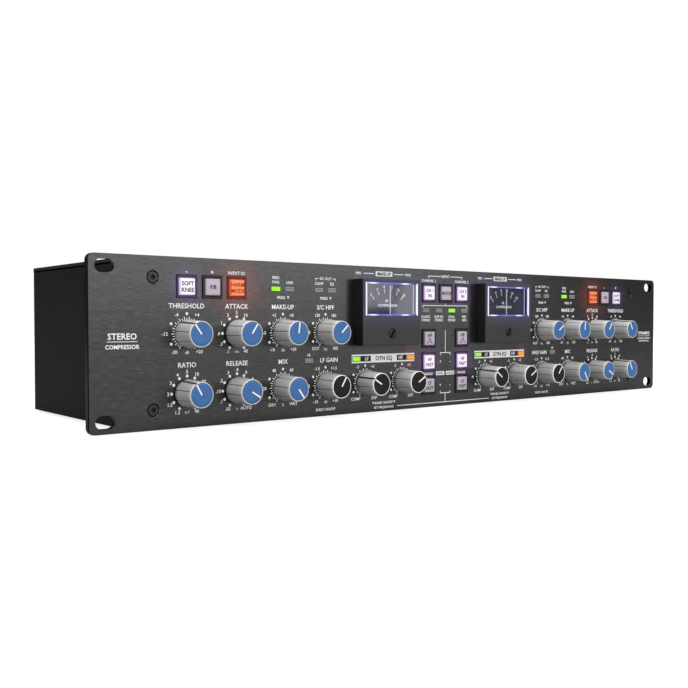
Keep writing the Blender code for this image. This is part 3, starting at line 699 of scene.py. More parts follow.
def ring_tree():
    """Marks in an arc around each point of a mesh: bars, or dots when Round is set."""
    measures = dict.fromkeys(("First", "Step", "Radius", "Length", "Width", "Ink"), "Float")
    inputs = {"Geometry": "Geometry", "Count": "Int", **measures, "Round": "Bool", "Finish": "Material"}
    sheet, given = start_tree("ring_of_marks", inputs)
    turn = given["First"] + sheet.add("GeometryNodeInputIndex") * given["Step"]
    across = turn.math("SINE") * given["Radius"]
    up = turn.math("COSINE") * given["Radius"]
    place = sheet.add("ShaderNodeCombineXYZ", None, {0: across, 2: up})
    points = sheet.add("GeometryNodePoints", None, {"Count": given["Count"], "Position": place})
    size = sheet.add("ShaderNodeCombineXYZ", None, {0: given["Width"], 1: given["Ink"], 2: given["Length"]})
    bar = sheet.add("GeometryNodeMeshCube", None, {"Size": size})
    dot_inputs = {"Vertices": 12, "Radius": given["Width"] * 0.5, "Depth": given["Ink"]}
    dot = sheet.add("GeometryNodeMeshCylinder", None, dot_inputs)
    lying = {"Geometry": dot, "Rotation": (math.pi / 2, 0.0, 0.0)}
    dot = sheet.add("GeometryNodeTransform", None, lying)
    mark = sheet.add("GeometryNodeSwitch", {"input_type": "GEOMETRY"}, {0: given["Round"], 1: bar, 2: dot})
    facing = sheet.add("ShaderNodeCombineXYZ", None, {1: turn})
    inputs = {"Points": points, "Instance": mark, "Rotation": facing}
    ring = sheet.add("GeometryNodeInstanceOnPoints", None, inputs)
    rings = sheet.add("GeometryNodeInstanceOnPoints", None, {"Points": given["Geometry"], "Instance": ring})
    solid = sheet.add("GeometryNodeRealizeInstances", None, {"Geometry": rings})
    painted = sheet.add("GeometryNodeSetMaterial", None, {"Geometry": solid, "Material": given["Finish"]})
    return end_tree(sheet, painted)


RING_TREE = ring_tree()


def marks(name, centres, **sizes):
    """A plain mesh of marks around centres, made by the ring tree."""
    return grown(name, points_mesh(name, centres), RING_TREE, sizes)


def joined(name, meshes):
    """One object from several meshes that keep their materials."""
    shape = bmesh.new()
    slots = []
    for mesh in meshes:
        start = len(shape.faces)
        shape.from_mesh(mesh)
        shape.faces.ensure_lookup_table()
        for face in shape.faces[start:]:
            material = mesh.materials[face.material_index]
            if material not in slots:
                slots.append(material)
            face.material_index = slots.index(material)
    made = bpy.data.meshes.new(name)
    shape.to_mesh(made)
    shape.free()
    for material in slots:
        made.materials.append(material)
    return linked(name, made)


# ---------------------------------------------------------------- printed scales and legends

SCALES = {
    "threshold": (("-20", "-12", "-4", "+4", "+20"), "dB"),
    "makeup": (("-10", "-5", "+2", "+8", "+20"), "dB"),
    "filter": (("OUT", "60", "120", "180", "300"), "Hz"),
    "mix": (("DRY", "20", "40", "60", "WET"), "%"),
    "low_gain": (("-10", "-5", "-1.5", "+1.5", "+10"), "dB"),
    "eq_outer": (("COMP", "-6", "-3", "+3", "EXP"), ""),
    "eq_inner": (("COMP", "-6", "-3", "+3", "EXP"), ""),
    "attack": ((".1", ".3", ".6", "1", "3", "5", "10", "15", "20", "30", "40"), "ms"),
    "ratio": (("1.3", "1.5", "2", "3", "4", "5", "10", "20", "30", "50", "90"), "x:1"),
    "release": ((".05", ".1", ".15", ".2", ".3", ".4", ".6", ".8", "1", "1.2", "AUTO"), "s"),
}
SPARSE_ANGLES = ((-143.0, 11.7), (-90.0, 12.2), (-31.0, 11.4), (31.0, 11.4), (143.0, 11.7))
TITLES = {
    "threshold": "THRESHOLD",
    "attack": "ATTACK",
    "makeup": "MAKE-UP",
    "filter": "S/C HPF",
    "ratio": "RATIO",
    "release": "RELEASE",
    "mix": "MIX",
}


def control_of(knob):
    """The control's name without its channel."""
    return knob[len("knob_"):].rsplit("_", 1)[0]


def knob_centre(knob):
    """Where the knob's axis meets the panel."""
    return Vector(JOINTS[knob]["pos_m"])


def make_scales():
    """Tick rings, dots and numbers around every knob."""
    plain = [knob_centre(knob) for knob in KNOBS if control_of(knob) not in STEPPED]
    stepped = [knob_centre(knob) for knob in KNOBS if control_of(knob) in STEPPED]
    lift = Vector((0.0, INK / 2, 0.0))
    common = {"Ink": INK, "Finish": FINISHES["legend"]}
    groups = [
        (plain, count, first, 20.0, (7.2 * MM + reach) / 2, reach - 7.2 * MM, 0.45, False)
        for count, first, reach in ((16, -150.0, 8.85 * MM), (15, -140.0, 8.2 * MM))
    ]
    groups.append((plain, 5, -120.0, 60.0, 10.4 * MM, 1.0 * MM, 1.5, True))
    groups.append((stepped, 11, -150.0, 30.0, 8.9 * MM, 1.0 * MM, 1.55, True))
    rings = []
    for centres, count, first, step, radius, length, width, is_round in groups:
        turns = {"Count": count, "First": first * DEGREE, "Step": step * DEGREE, "Round": is_round}
        sizes = {"Radius": radius, "Length": length, "Width": width * MM}
        rings.append(marks("marks", [place - lift for place in centres], **turns, **sizes, **common))
    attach(joined("scale_marks", rings), "case")

    shape = bmesh.new()
    for knob in KNOBS:
        control = control_of(knob)
        centre = knob_centre(knob)
        numbers, unit = SCALES[control]
        if control in STEPPED:
            angles = [(-150.0 + 30.0 * place, 11.2) for place in range(11)]
        else:
            angles = SPARSE_ANGLES
        for number, (angle, radius) in zip(numbers, angles):
            turn = math.radians(angle)
            reach = radius + 0.35 * (len(number) - 2) * abs(math.sin(turn))
            x = centre.x + reach * MM * math.sin(turn)
            z = centre.z + radius * MM * math.cos(turn)
            write(shape, number, x, z, 1.75 * MM, bold=0.03 * MM)
        if unit:
            write(shape, unit, centre.x, centre.z - 9.7 * MM, 1.6 * MM)
    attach(piece("scale_numbers", shape, ["legend"]), "case")


def write_rows(shape, rows):
    """Writes rows of word, x, z, height and boldness, in millimetres."""
    for word, *measures in rows:
        x, z, height, bold = [measure * MM for measure in measures]
        write(shape, word, x, z, height, bold=bold)


def rule_rows(shape, rows):
    """Prints bars from rows of x, z, width and height, in millimetres."""
    for row in rows:
        rule(shape, *[measure * MM for measure in row])


SMALL = (1.5, 0.03)
CAPTION = (1.6, 0.03)


def side_words(side):
    """The small words of one channel."""
    link, chain, strip = side * 128.0, side * 98.0, side * 53.0
    return (
        ("PRESS", link - 1.2, 68.2, *SMALL),
        ("PRESS", chain - 1.2, 68.2, *SMALL),
        ("FEED", link - 4.7, 79.2, *SMALL),
        ("FWD", link - 4.7, 76.7, *SMALL),
        ("LINK", link + 4.7, 76.7, *SMALL),
        ("S/C OUT", chain, 79.6, *SMALL),
        ("COMP", chain - 4.7, 76.7, *SMALL),
        ("EQ", chain + 4.7, 76.7, *SMALL),
        ("HI", side * 110.0, 35.6, *SMALL),
        ("MIN", strip - 20.3, 83.8, *CAPTION),
        ("MAX", strip + 19.9, 83.8, *CAPTION),
        ("BAND ON/OFF", strip, 5.2, *SMALL),
        ("SET FREQ/RANGE", strip, 2.4, 1.4, 0.02),
        ("SHELF ON/OFF", chain, 3.85, *SMALL),
        ("IN/EXT SC", side * 158.0, 80.8, *CAPTION),
    )


def make_titles():
    """The names of the controls and the small legends between them."""
    shape = bmesh.new()
    for knob in KNOBS:
        title = TITLES.get(control_of(knob))
        if title:
            centre = knob_centre(knob)
            height = TITLE_TOP if centre.z > 40.0 * MM else TITLE_LOW
            write(shape, title, centre.x, height, 2.45 * MM, bold=0.055 * MM, spacing=1.02)
    write(shape, "LF GAIN", -95.5 * MM, TITLE_LOW, 2.45 * MM, bold=0.055 * MM)
    write(shape, "HF/LF GAIN", 95.5 * MM, TITLE_LOW, 2.35 * MM, bold=0.05 * MM, spacing=0.92)
    for side in (-1, 1):
        write_rows(shape, side_words(side))
        for column in (98.0, 128.0):
            arrow(shape, side * column * MM + 3.6 * MM, 68.2 * MM, 1.6 * MM)
        for end in (-1, 1):
            chain = side * 98.0
            bars = ((chain + end * 6.2, 79.6, 2.0, 0.35), (chain + end * 7.1, 79.0, 0.35, 1.4))
            rule_rows(shape, (*bars, (side * 53.0 + end * 12.2, 83.8, 8.0, 0.5)))
            arrow(shape, side * STRIP_X + end * 8.6 * MM, 5.2 * MM, 1.5 * MM)
    signs = (("-", -188.0), ("+", -173.0), ("-", 173.0), ("+", 188.0))
    write_rows(shape, [(sign, x, 80.8, 2.0, 0.12) for sign, x in signs])
    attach(piece("panel_titles", shape, ["legend"]), "case")


def rule(shape, x, z, width, height, finish=0):
    """A printed bar."""
    plate(shape, x, z, width, height, -INK, 0.0, finish)


def arrow(shape, x, z, size):
    """A printed arrow head that points down."""
    corners = [(x - size / 2, z + size / 2), (x, z - size / 2), (x + size / 2, z + size / 2)]
    front = [shape.verts.new((a, FACE - INK, b)) for a, b in corners]
    back = [shape.verts.new((a, FACE, b)) for a, b in corners]
    shape.faces.new(front)
    shape.faces.new(back[::-1])
    for here in range(3):
        there = (here + 1) % 3
        shape.faces.new((front[there], front[here], back[here], back[there]))


def make_centre_legend():
    """The brackets, boxes and words between the two channels."""
    shape = bmesh.new()
    line = 0.42
    for end in (-1, 1):
        brackets = (
            (end * 9.9, 83.8, 11.0, line),
            (end * 15.2, 83.1, line, 1.4),
            (end * 20.1, 64.2, line, 1.4),
            (end * 4.4, 33.8, line, 1.6),
            (end * 4.4, 9.2, line, 1.4),
        )
        rule_rows(shape, brackets)
    stems = ((0.0, 65.0, 40.6, line), (0.0, 65.7, line, 1.4), (0.0, 42.1, line, 14.2))
    feet = ((0.0, 34.6, 9.2, line), (0.0, 8.5, 9.2, line), (0.0, 5.4, line, 5.6), (0.0, 2.6, 84.0, line))
    rule_rows(shape, stems + feet)
    headings = (
        ("INPUT", 0.0, 83.8, 1.8, 0.03),
        ("CHANNEL 1", -15.0, 80.8, *CAPTION),
        ("CHANNEL 2", 15.0, 80.8, *CAPTION),
        ("RANGE", -15.0, 21.3, 1.5, 0.04),
        ("RANGE", 15.0, 21.3, 1.5, 0.04),
        ("2-CHANNEL COMPRESSOR", 227.5, 41.0, 1.05, 0.03),
        ("WITH DYNAMIC EQ", 227.5, 38.9, 1.05, 0.03),
    )
    write_rows(shape, headings)
    modes = (
        (-17.55, "CLASSIC", "STEREO"),
        (-5.85, "SUM S/C", "STEREO"),
        (5.85, "DUAL", "MONO"),
        (17.55, "MID", "SIDE"),
    )
    for x, upper, lower in modes:
        write_rows(shape, ((upper, x, 57.9, *SMALL), (lower, x, 55.7, *SMALL)))
    for height in (29.0, 13.9):
        write_rows(shape, (("+", -4.4, height, 1.7, 0.08), ("-", 4.4, height, 1.7, 0.08)))
    write(shape, "STEREO", -223.5 * MM, 47.6 * MM, 2.9 * MM, bold=0.1 * MM, spacing=1.05)
    write_rows(shape, (("COMPRESSOR", -223.5, 42.4, 1.95, 0.07), ("DYNAMICS", 227.5, 45.3, 2.2, 0.09)))
    rule_rows(shape, ((-223.5, 45.0, 16.0, 0.3), (227.5, 42.9, 17.0, 0.3)))
    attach(piece("centre_legend", shape, ["legend"]), "case")


def make_label_boxes():
    """White printed boxes with dark words in them."""
    shape = bmesh.new()
    deep = 2 * INK
    for x, word in ((-4.55, "BAND"), (4.35, "RANGE")):
        plate(shape, x * MM, 21.35 * MM, 7.4 * MM, 2.4 * MM, -deep, 0.0)
        write(shape, word, x * MM, 21.35 * MM, 1.3 * MM, front=deep, bold=0.04 * MM, finish=1)
    for side in (-1, 1):
        x = side * STRIP_X
        plate(shape, x, 83.8 * MM, 13.5 * MM, 3.0 * MM, -deep, 0.0)
        write(shape, "MAKE-UP", x, 83.8 * MM, 1.8 * MM, front=deep, bold=0.1 * MM, finish=1)
        plate(shape, x, TITLE_LOW, 50.7 * MM, 5.1 * MM, -deep, 0.0)
        write(shape, "DYN EQ", x, TITLE_LOW, 2.5 * MM, front=deep, bold=0.1 * MM, finish=1)
        for end, word in ((-1, "LF"), (1, "HF")):
            band = x + end * 14.6 * MM
            plate(shape, band, TITLE_LOW, 8.0 * MM, 3.4 * MM, -1.6 * deep, 0.0, 1)
            write(shape, word, band - end * 0.8 * MM, TITLE_LOW, 2.1 * MM, front=1.6 * deep, bold=0.06 * MM)
            plate(shape, x + end * 21.9 * MM, TITLE_LOW, 6.3 * MM, 3.2 * MM, -1.6 * deep, 0.0, 1)
    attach(piece("label_boxes", shape, ["pale", "black_line"]), "case")


# ---------------------------------------------------------------- knobs


def barrel_tree():
    """A tapered barrel with lengthwise grooves, standing on Z."""
    measures = dict.fromkeys(("Grooves", "Base", "Crown", "Height", "Depth"), "Float")
    sheet, given = start_tree("grooved_barrel", {"Sides": "Int", **measures, "Finish": "Material"})
    size = {"Vertices": given["Sides"], "Side Segments": 6, "Radius": 1.0, "Depth": given["Height"]}
    drum = sheet.add("GeometryNodeMeshCylinder", None, size)
    place = sheet.add("GeometryNodeInputPosition")
    x, y, z = sheet.split(place)
    share = z / given["Height"] + 0.5
    turn = x.math("ARCTAN2", y)
    phase = (turn * given["Grooves"] / (2.0 * math.pi) + 0.5).math("FRACT") - 0.5
    notch = (1.0 - abs(phase) / 0.05).larger(0.0)
    hollow = abs(phase) * abs(phase) * 4.0
    radius = given["Base"] + (given["Crown"] - given["Base"]) * share
    radius = radius - notch * given["Depth"] - (1.0 - hollow) * given["Depth"] * 0.12
    spread = sheet.add("ShaderNodeCombineXYZ", None, {0: x * radius, 1: y * radius, 2: z})
    moved = sheet.add("GeometryNodeSetPosition", None, {"Geometry": drum, "Position": spread})
    stored = {"Geometry": moved, "Name": "groove", "Value": notch}
    moved = sheet.add("GeometryNodeStoreNamedAttribute", {"data_type": "FLOAT", "domain": "POINT"}, stored)
    smooth = sheet.add("GeometryNodeSetShadeSmooth", None, {0: moved})
    solid = sheet.add("GeometryNodeRealizeInstances", None, {"Geometry": smooth})
    painted = sheet.add("GeometryNodeSetMaterial", None, {"Geometry": solid, "Material": given["Finish"]})
    return end_tree(sheet, painted)


def barrel_mesh(height):
    """The knob's grey body, from the panel side at 0 up to its height."""
    sizes = {
        "Sides": 240,
        "Grooves": 8.0,
        "Base": KNOB_BASE,
        "Crown": KNOB_CROWN,
        "Height": height,
        "Depth": 0.6 * MM,
        "Finish": FINISHES["barrel"],
    }
    made = grown("barrel", bpy.data.meshes.new("barrel"), barrel_tree(), sizes)
    made.transform(Matrix.Translation((0.0, 0.0, height / 2)))
    return made


def turned(shape, profile, sides, finish):
    """Adds a shape turned about Z from (radius, height) points, open at its ends."""
    verts = [shape.verts.new((radius, 0.0, height)) for radius, height in profile]
    edges = [shape.edges.new(pair) for pair in zip(verts, verts[1:])]
    before = set(shape.faces)
    bmesh.ops.spin(
        shape,
        geom=verts + edges,
        axis=(0.0, 0.0, 1.0),
        cent=grey(0.0),
        angle=2 * math.pi,
        steps=sides,
        use_merge=True,
        use_duplicate=False,
    )
    for face in set(shape.faces) - before:
        face.material_index = finish
        face.smooth = True


def knob_shape(barrel, capped):
    """One knob in its own space: on Z, with its pointer at +Y, the panel side at 0."""
    height = KNOB_REACH - KNOB_LIFT
    finishes = ["barrel", "rim" if capped == "blue_cap" else "rim_white", capped, "cream_line", "black_line"]
    shape = bmesh.new()
    rim_out = KNOB_CROWN - 0.02 * MM
    ring = [
        (rim_out, height - 0.62 * MM),
        (rim_out, height - 0.16 * MM),
        (rim_out - 0.14 * MM, height - 0.02 * MM),
        (CAP_RADIUS + 0.03 * MM, height),
        (CAP_RADIUS, height - 0.08 * MM),
        (CAP_RADIUS, height - 0.62 * MM),
        (rim_out, height - 0.62 * MM),
    ]
    turned(shape, ring, 64, 1)
    cap = [(0.0, height - 0.62 * MM), (0.0, height - 0.16 * MM), (4.6 * MM, height - 0.15 * MM)]
    cap += [(CAP_RADIUS - 0.1 * MM, height - 0.1 * MM), (CAP_RADIUS - 0.02 * MM, height - 0.2 * MM)]
    cap += [(CAP_RADIUS - 0.02 * MM, height - 0.62 * MM)]
    turned(shape, cap, 64, 2)
    line = 0.38 * MM
    block(shape, (-line, 0.0, height - 0.3 * MM), (line, CAP_RADIUS, height - 0.02 * MM), 3)
    block(shape, (-line, CAP_RADIUS, height - 0.7 * MM), (line, rim_out + 0.04 * MM, height + 0.0), 4)
    bmesh.ops.remove_doubles(shape, verts=shape.verts, dist=0.000001)
    bmesh.ops.recalc_face_normals(shape, faces=shape.faces)
    trim = as_mesh("knob_trim", shape, finishes)
    side = bmesh.new()
    verts = block(side, (-0.5 * MM, -0.5 * MM, 0.3 * MM), (0.5 * MM, 0.5 * MM, height - 0.5 * MM), 0)
    slope = (KNOB_CROWN - KNOB_BASE) / height
    for vert in verts:
        vert.co.y += KNOB_BASE + slope * vert.co.z - 0.47 * MM
    return [barrel, trim, as_mesh("knob_pointer", side, ["black_line"])]


def make_knobs():
    """Every knob, in place of its plain CAD solid."""
    barrel = barrel_mesh(KNOB_REACH - KNOB_LIFT - 0.5 * MM)
    parts = {cap: knob_shape(barrel, cap) for cap in ("blue_cap", "black_cap")}
    for knob in KNOBS:
        low, high = JOINTS[knob]["range_deg"]
        pointer = -math.radians(low + high) / 2
        cap = "black_cap" if control_of(knob) in BLACK_CAPS else "blue_cap"
        place = Matrix.Translation(knob_centre(knob) - Vector((0.0, KNOB_LIFT, 0.0)))
        turn = Matrix.Rotation(pointer, 4, "Y") @ Matrix.Rotation(math.pi / 2, 4, "X")
        made = joined(knob + "_dress", parts[cap])
        made.data.transform(place @ turn)
        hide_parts(knob)
        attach(made, knob)


# ---------------------------------------------------------------- buttons and lights

BUTTON_WORDS = {
    "left_outer": ("SOFT", "KNEE"),
    "left_middle": ("F/B",),
    "left_inner": ("HARM", "MODE"),
    "right_inner": ("HARM", "MODE"),
    "right_middle": ("F/B",),
    "right_outer": ("SOFT", "KNEE"),
    "centre_left": ("CH 1", "IN"),
    "centre_middle": ("MODE",),
    "centre_right": ("CH 2", "IN"),
    "bell_left": ("HF",),
    "bell_right": ("HF",),
    "range_left": ("HF", "FAST"),
    "range_right": ("HF", "FAST"),
    "split_left": ("LF", "FAST"),
    "split_right": ("LF", "FAST"),
}


def bell_line(shape, x, z, front, finish):
    """A small bell curve drawn as a bent ribbon."""
    count = 16
    rows = []
    for step in range(count + 1):
        across = (step / count - 0.5) * 5.0
        up = 2.6 * math.exp(-((across / 1.05) ** 4.0))
        rows.append((x + across * MM, z + up * MM))
    for (x0, z0), (x1, z1) in zip(rows, rows[1:]):
        run = Vector((x1 - x0, 0.0, z1 - z0))
        side = Vector((-run.z, 0.0, run.x)).normalized() * 0.27 * MM
        centre = Vector(((x0 + x1) / 2, FACE - front - INK / 2, (z0 + z1) / 2))
        turn = math.atan2(-run.z, run.x)
        size = Matrix.Diagonal((run.length + 0.12 * MM, INK, 2 * side.length, 1.0))
        made = bmesh.ops.create_cube(
            shape, size=1.0, matrix=Matrix.Translation(centre) @ Matrix.Rotation(turn, 4, "Y") @ size
        )
        paint(made, finish)


def make_buttons():
    """Button caps with soft edges and their words."""
    for node in BUTTONS:
        name = node[len("button_"):]
        low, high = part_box(node)
        centre = (low + high) / 2
        half = (high.x - low.x) / 2
        kind = "cap_white" if name in LIT_WHITE else "cap_orange" if name in LIT_ORANGE else "cap_plain"
        ink = {"cap_white": "violet_ink", "cap_orange": "red_ink", "cap_plain": "label_ink"}[kind]
        shape = bmesh.new()
        block(shape, (low.x, low.y, low.z), (high.x, FACE + 3.0 * MM, high.z))
        edges = [edge for edge in shape.edges if not all(vert.co.y > FACE for vert in edge.verts)]
        bmesh.ops.bevel(shape, geom=edges, offset=0.5 * MM, segments=3, affect="EDGES", profile=0.6)
        stem = 2.1 * MM
        start = (centre.x - stem, FACE + 3.0 * MM, centre.z - stem)
        block(shape, start, (centre.x + stem, high.y, centre.z + stem))
        for face in shape.faces:
            face.smooth = True
        add_numbers(
            shape,
            across=lambda vert: (vert.co.x - centre.x) / half,
            up=lambda vert: (vert.co.z - centre.z) / half,
        )
        front = FACE - low.y
        words = BUTTON_WORDS[name]
        if len(words) == 2:
            lines = [(words[0], 1.55, 2.05, 0.09), (words[1], -1.75, 2.05, 0.09)]
        elif name.startswith("bell"):
            lines = [(words[0], 1.9, 2.2, 0.1)]
        else:
            lines = [(words[0], 0.0, 2.0, 0.08)]
        for word, rise, height, bold in lines:
            spot = (centre.x, centre.z + rise * MM)
            write(shape, word, *spot, height * MM, front=front, bold=bold * MM, finish=1)
        if name.startswith("bell"):
            bell_line(shape, centre.x, centre.z - 2.9 * MM, front, 1)
        made = piece(node + "_dress", shape, [kind, ink])
        set_sharp(made.data, 45.0)
        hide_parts(node)
        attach(made, node)


def set_sharp(mesh, angle):
    """Keeps corners sharper than the angle."""
    mesh.set_sharp_from_angle(angle=math.radians(angle))


def make_lenses():
    """Indicator lenses over the light pipes: five are lit green and two orange."""
    lights = {(-132.7, 73.0): "lens_green", (123.3, 73.0): "lens_green", (5.85, 61.9): "lens_green"}
    for side in (-1, 1):
        lights[(side * 53.0 - 21.9, 32.5)] = "lens_green"
        lights[(side * 53.0 + 21.9, 32.5)] = "lens_orange"
        lights[(side * 110.0, 32.5)] = "lens_off"
        for column in (98.0, 128.0):
            for shift in (-4.7, 4.7):
                lights.setdefault((side * column + shift, 73.0), "lens_off")
    for x in (-17.55, -5.85, 5.85, 17.55):
        lights.setdefault((x, 61.9), "lens_off")
    finishes = ["lens_off", "lens_green", "lens_orange"]
    shape = bmesh.new()
    for (x, z), finish in lights.items():
        plate(shape, x * MM, z * MM, 5.6 * MM, 2.5 * MM, -0.4 * MM, 0.2 * MM, finishes.index(finish))
    edges = [edge for edge in shape.edges if all(vert.co.y < FACE for vert in edge.verts)]
    bmesh.ops.bevel(shape, geom=edges, offset=0.14 * MM, segments=2, affect="EDGES")
    for (x, z), finish in lights.items():
        if finish == "lens_off":
            for rise in (-0.42, 0.42):
                plate(shape, x * MM, (z + rise) * MM, 5.3 * MM, 0.22 * MM, -0.46 * MM, -0.38 * MM, 3)
    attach(piece("indicator_lenses", shape, finishes + ["black_cap"]), "case")


# ---------------------------------------------------------------- meters


def make_meter(word):
    """Card, scale, edge lighting, window and zero screw of one meter."""
    x = middle("meter_window_" + word).x
    low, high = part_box("meter_window_" + word)
    front = low.y - FACE
    card_y = -3.45 * MM
    half = (high.x - low.x) / 2
    pivot = Vector(JOINTS["meter_needle_" + word]["pos_m"])
    rise = (high.z + low.z) / 2

    card = bmesh.new()
    plate(card, x, rise - 1.0 * MM, 42.6 * MM, 24.0 * MM, card_y, card_y + 0.04 * MM)
    add_numbers(card, across=lambda vert: (vert.co.x - x) / half)
    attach(piece(f"meter_card_{word}", card, ["dial"]), "case")

    face_y = card_y - INK / 2
    centre = (pivot.x, FACE + face_y, pivot.z)
    ticks = marks(
        "dial_ticks",
        [centre],
        Count=6,
        First=-42.5 * DEGREE,
        Step=17.0 * DEGREE,
        Radius=17.0 * MM,
        Length=2.5 * MM,
        Width=0.42 * MM,
        Ink=INK,
        Round=False,
        Finish=FINISHES["dial_ink"],
    )
    letters = bmesh.new()
    for place, number in enumerate(("0", "4", "8", "12", "16", "20")):
        turn = math.radians(-42.5 + 17.0 * place)
        spot = (pivot.x + 19.6 * MM * math.sin(turn), pivot.z + 19.6 * MM * math.cos(turn))
        write(letters, number, *spot, 1.75 * MM, front=-card_y, bold=0.03 * MM)
    write(letters, "dB", x - 1.0 * MM, 67.4 * MM, 1.6 * MM, front=-card_y, bold=0.04 * MM)
    write(letters, "COMPRESSION", x, 64.6 * MM, 1.6 * MM, front=-card_y, bold=0.04 * MM)
    numbers = as_mesh("dial_numbers", letters, ["dial_ink"])
    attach(joined(f"meter_scale_{word}", [ticks, numbers]), "case")

    glow = bmesh.new()
    side_bar = 0.95 * MM
    flat_bar = 0.85 * MM
    back = front + 0.8 * MM
    tall = high.z - low.z
    for end in (-1, 1):
        plate(glow, x + end * (half - side_bar / 2), rise, side_bar, tall, front, back)
        height = rise + end * (tall / 2 - flat_bar / 2)
        plate(glow, x, height, 2 * (half - side_bar), flat_bar, front, back)
    for end in (-1, 1):
        plate(glow, x + end * (half + 0.1 * MM), rise, 0.45 * MM, tall, card_y - 0.3 * MM, card_y - 0.02 * MM)
    add_numbers(
        glow,
        across=lambda vert: (vert.co.x - x) / half,
        side=lambda vert: 0.0 if max(edge.calc_length() for edge in vert.link_edges) > tall * 1.2 else 1.0,
        back=lambda vert: 1.0 if vert.co.y > FACE + card_y - 0.5 * MM else 0.0,
    )
    rim = piece(f"meter_edge_light_{word}", glow, ["edge_light"])
    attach(rim, "case")

    pane = bmesh.new()
    width = 2 * (half - side_bar)
    plate(pane, x, rise, width - 0.02 * MM, tall - 2 * flat_bar - 0.02 * MM, front + 0.05 * MM, back)
    window = piece(f"meter_pane_{word}", pane, ["pane"])
    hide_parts("meter_window_" + word)
    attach(window, "case")

    screw = bmesh.new()
    spot = (x, 47.6 * MM)
    disc(screw, *spot, 2.9 * MM, front - 0.3 * MM, front + 0.1 * MM, 0, 32)
    edges = [edge for edge in screw.edges if all(vert.co.y < FACE + front - 0.2 * MM for vert in edge.verts)]
    bmesh.ops.bevel(screw, geom=edges, offset=0.22 * MM, segments=2, affect="EDGES")
    # Painted shadow: a dark ring around the head and a dark sheet in the slot.
    disc(screw, *spot, 3.15 * MM, front - 0.03 * MM, front + 0.1 * MM, 1, 32)
    slot = bmesh.ops.create_cube(
        screw,
        size=1.0,
        matrix=Matrix.Translation((x, FACE + front - 0.3 * MM, 47.6 * MM))
        @ Matrix.Rotation(math.radians(-56.0), 4, "Y")
        @ Matrix.Diagonal((5.3 * MM, 0.04 * MM, 1.15 * MM, 1.0)),
    )
    paint(slot, 1)
    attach(piece(f"meter_zero_screw_{word}", screw, ["zero_screw", "shadow"]), "case")


# ---------------------------------------------------------------- screws and rear


def socket_screw(radius, depth):
    """A countersunk head with a six-sided socket, facing the front, its face at depth 0."""
    shape = bmesh.new()
    hexagon = [(math.sin(step * math.pi / 3), math.cos(step * math.pi / 3)) for step in range(6)]
    rim = [(math.sin(step * math.pi / 15), math.cos(step * math.pi / 15)) for step in range(30)]

    def loop(points, size, y):
        return [shape.verts.new((a * size, y, b * size)) for a, b in points]

    outer_front = loop(rim, radius, 0.06 * MM)
    lip = loop(rim, radius - 0.12 * MM, 0.0)
    outer_back = loop(rim, radius * 0.62, depth)
    mouth = loop(hexagon, radius * 0.5, 0.0)
    floor = loop(hexagon, radius * 0.5, depth * 0.75)

    def band(first, second, finish):
        count = len(first)
        for here in range(count):
            there = (here + 1) % count
            face = shape.faces.new((first[here], first[there], second[there], second[here]))
            face.material_index = finish

    band(outer_front, lip, 0)
    band(outer_back, outer_front, 0)
    # The socket's walls and floor take the black ink finish as painted shade in the recess.
    band(mouth, floor, 1)
    bottom = shape.faces.new(floor)
    bottom.material_index = 1
    shape.faces.new(outer_back)
    for step in range(6):
        fan = [lip[(step * 5 + part) % 30] for part in range(6)]
        ring = fan + [mouth[(step + 1) % 6], mouth[step]]
        shape.faces.new(ring)
    bmesh.ops.recalc_face_normals(shape, faces=shape.faces)
    return as_mesh("socket_screw", shape, ["screw", "black_line"])


def scatter_tree():
    """Copies of one object on every point of a mesh, turned alike."""
    inputs = {"Geometry": "Geometry", "Fastener": "Object", "Turn": "Vector"}
    sheet, given = start_tree("copies_on_points", inputs)
    copy = sheet.add("GeometryNodeObjectInfo", None, {"Object": given["Fastener"]}, out="Geometry")
    inputs = {"Points": given["Geometry"], "Instance": copy, "Rotation": given["Turn"]}
    placed = sheet.add("GeometryNodeInstanceOnPoints", None, inputs)
    solid = sheet.add("GeometryNodeRealizeInstances", None, {"Geometry": placed})
    return end_tree(sheet, solid)


SCATTER_TREE = scatter_tree()


def fasteners(name, head, places, turn):
    """One piece that holds a fastener at every place."""
    sample = linked(name + "_sample", head)
    made = grown(name, points_mesh(name, places), SCATTER_TREE, {"Fastener": sample, "Turn": turn})
    bpy.data.objects.remove(sample)
    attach(linked(name, made), "case")


def make_screws():
    """Panel and cover screws."""
    head = socket_screw(2.85 * MM, 1.5 * MM)
    places = [(side * SCREWS_X * MM, FACE + 0.05 * MM, z * MM) for side in (-1, 1) for z in (10.3, 77.3)]
    fasteners("panel_screws", head, places, grey(0.0))
    low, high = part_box("top_cover")
    small = socket_screw(2.4 * MM, 0.5 * MM)
    rows = (low.y + 7 * MM, high.y - 7 * MM)
    top = [(x * MM, y, high.z + 0.3 * MM) for x in COVER_SCREWS_X for y in rows]
    fasteners("cover_screws", small, top, (-math.pi / 2, 0.0, 0.0))


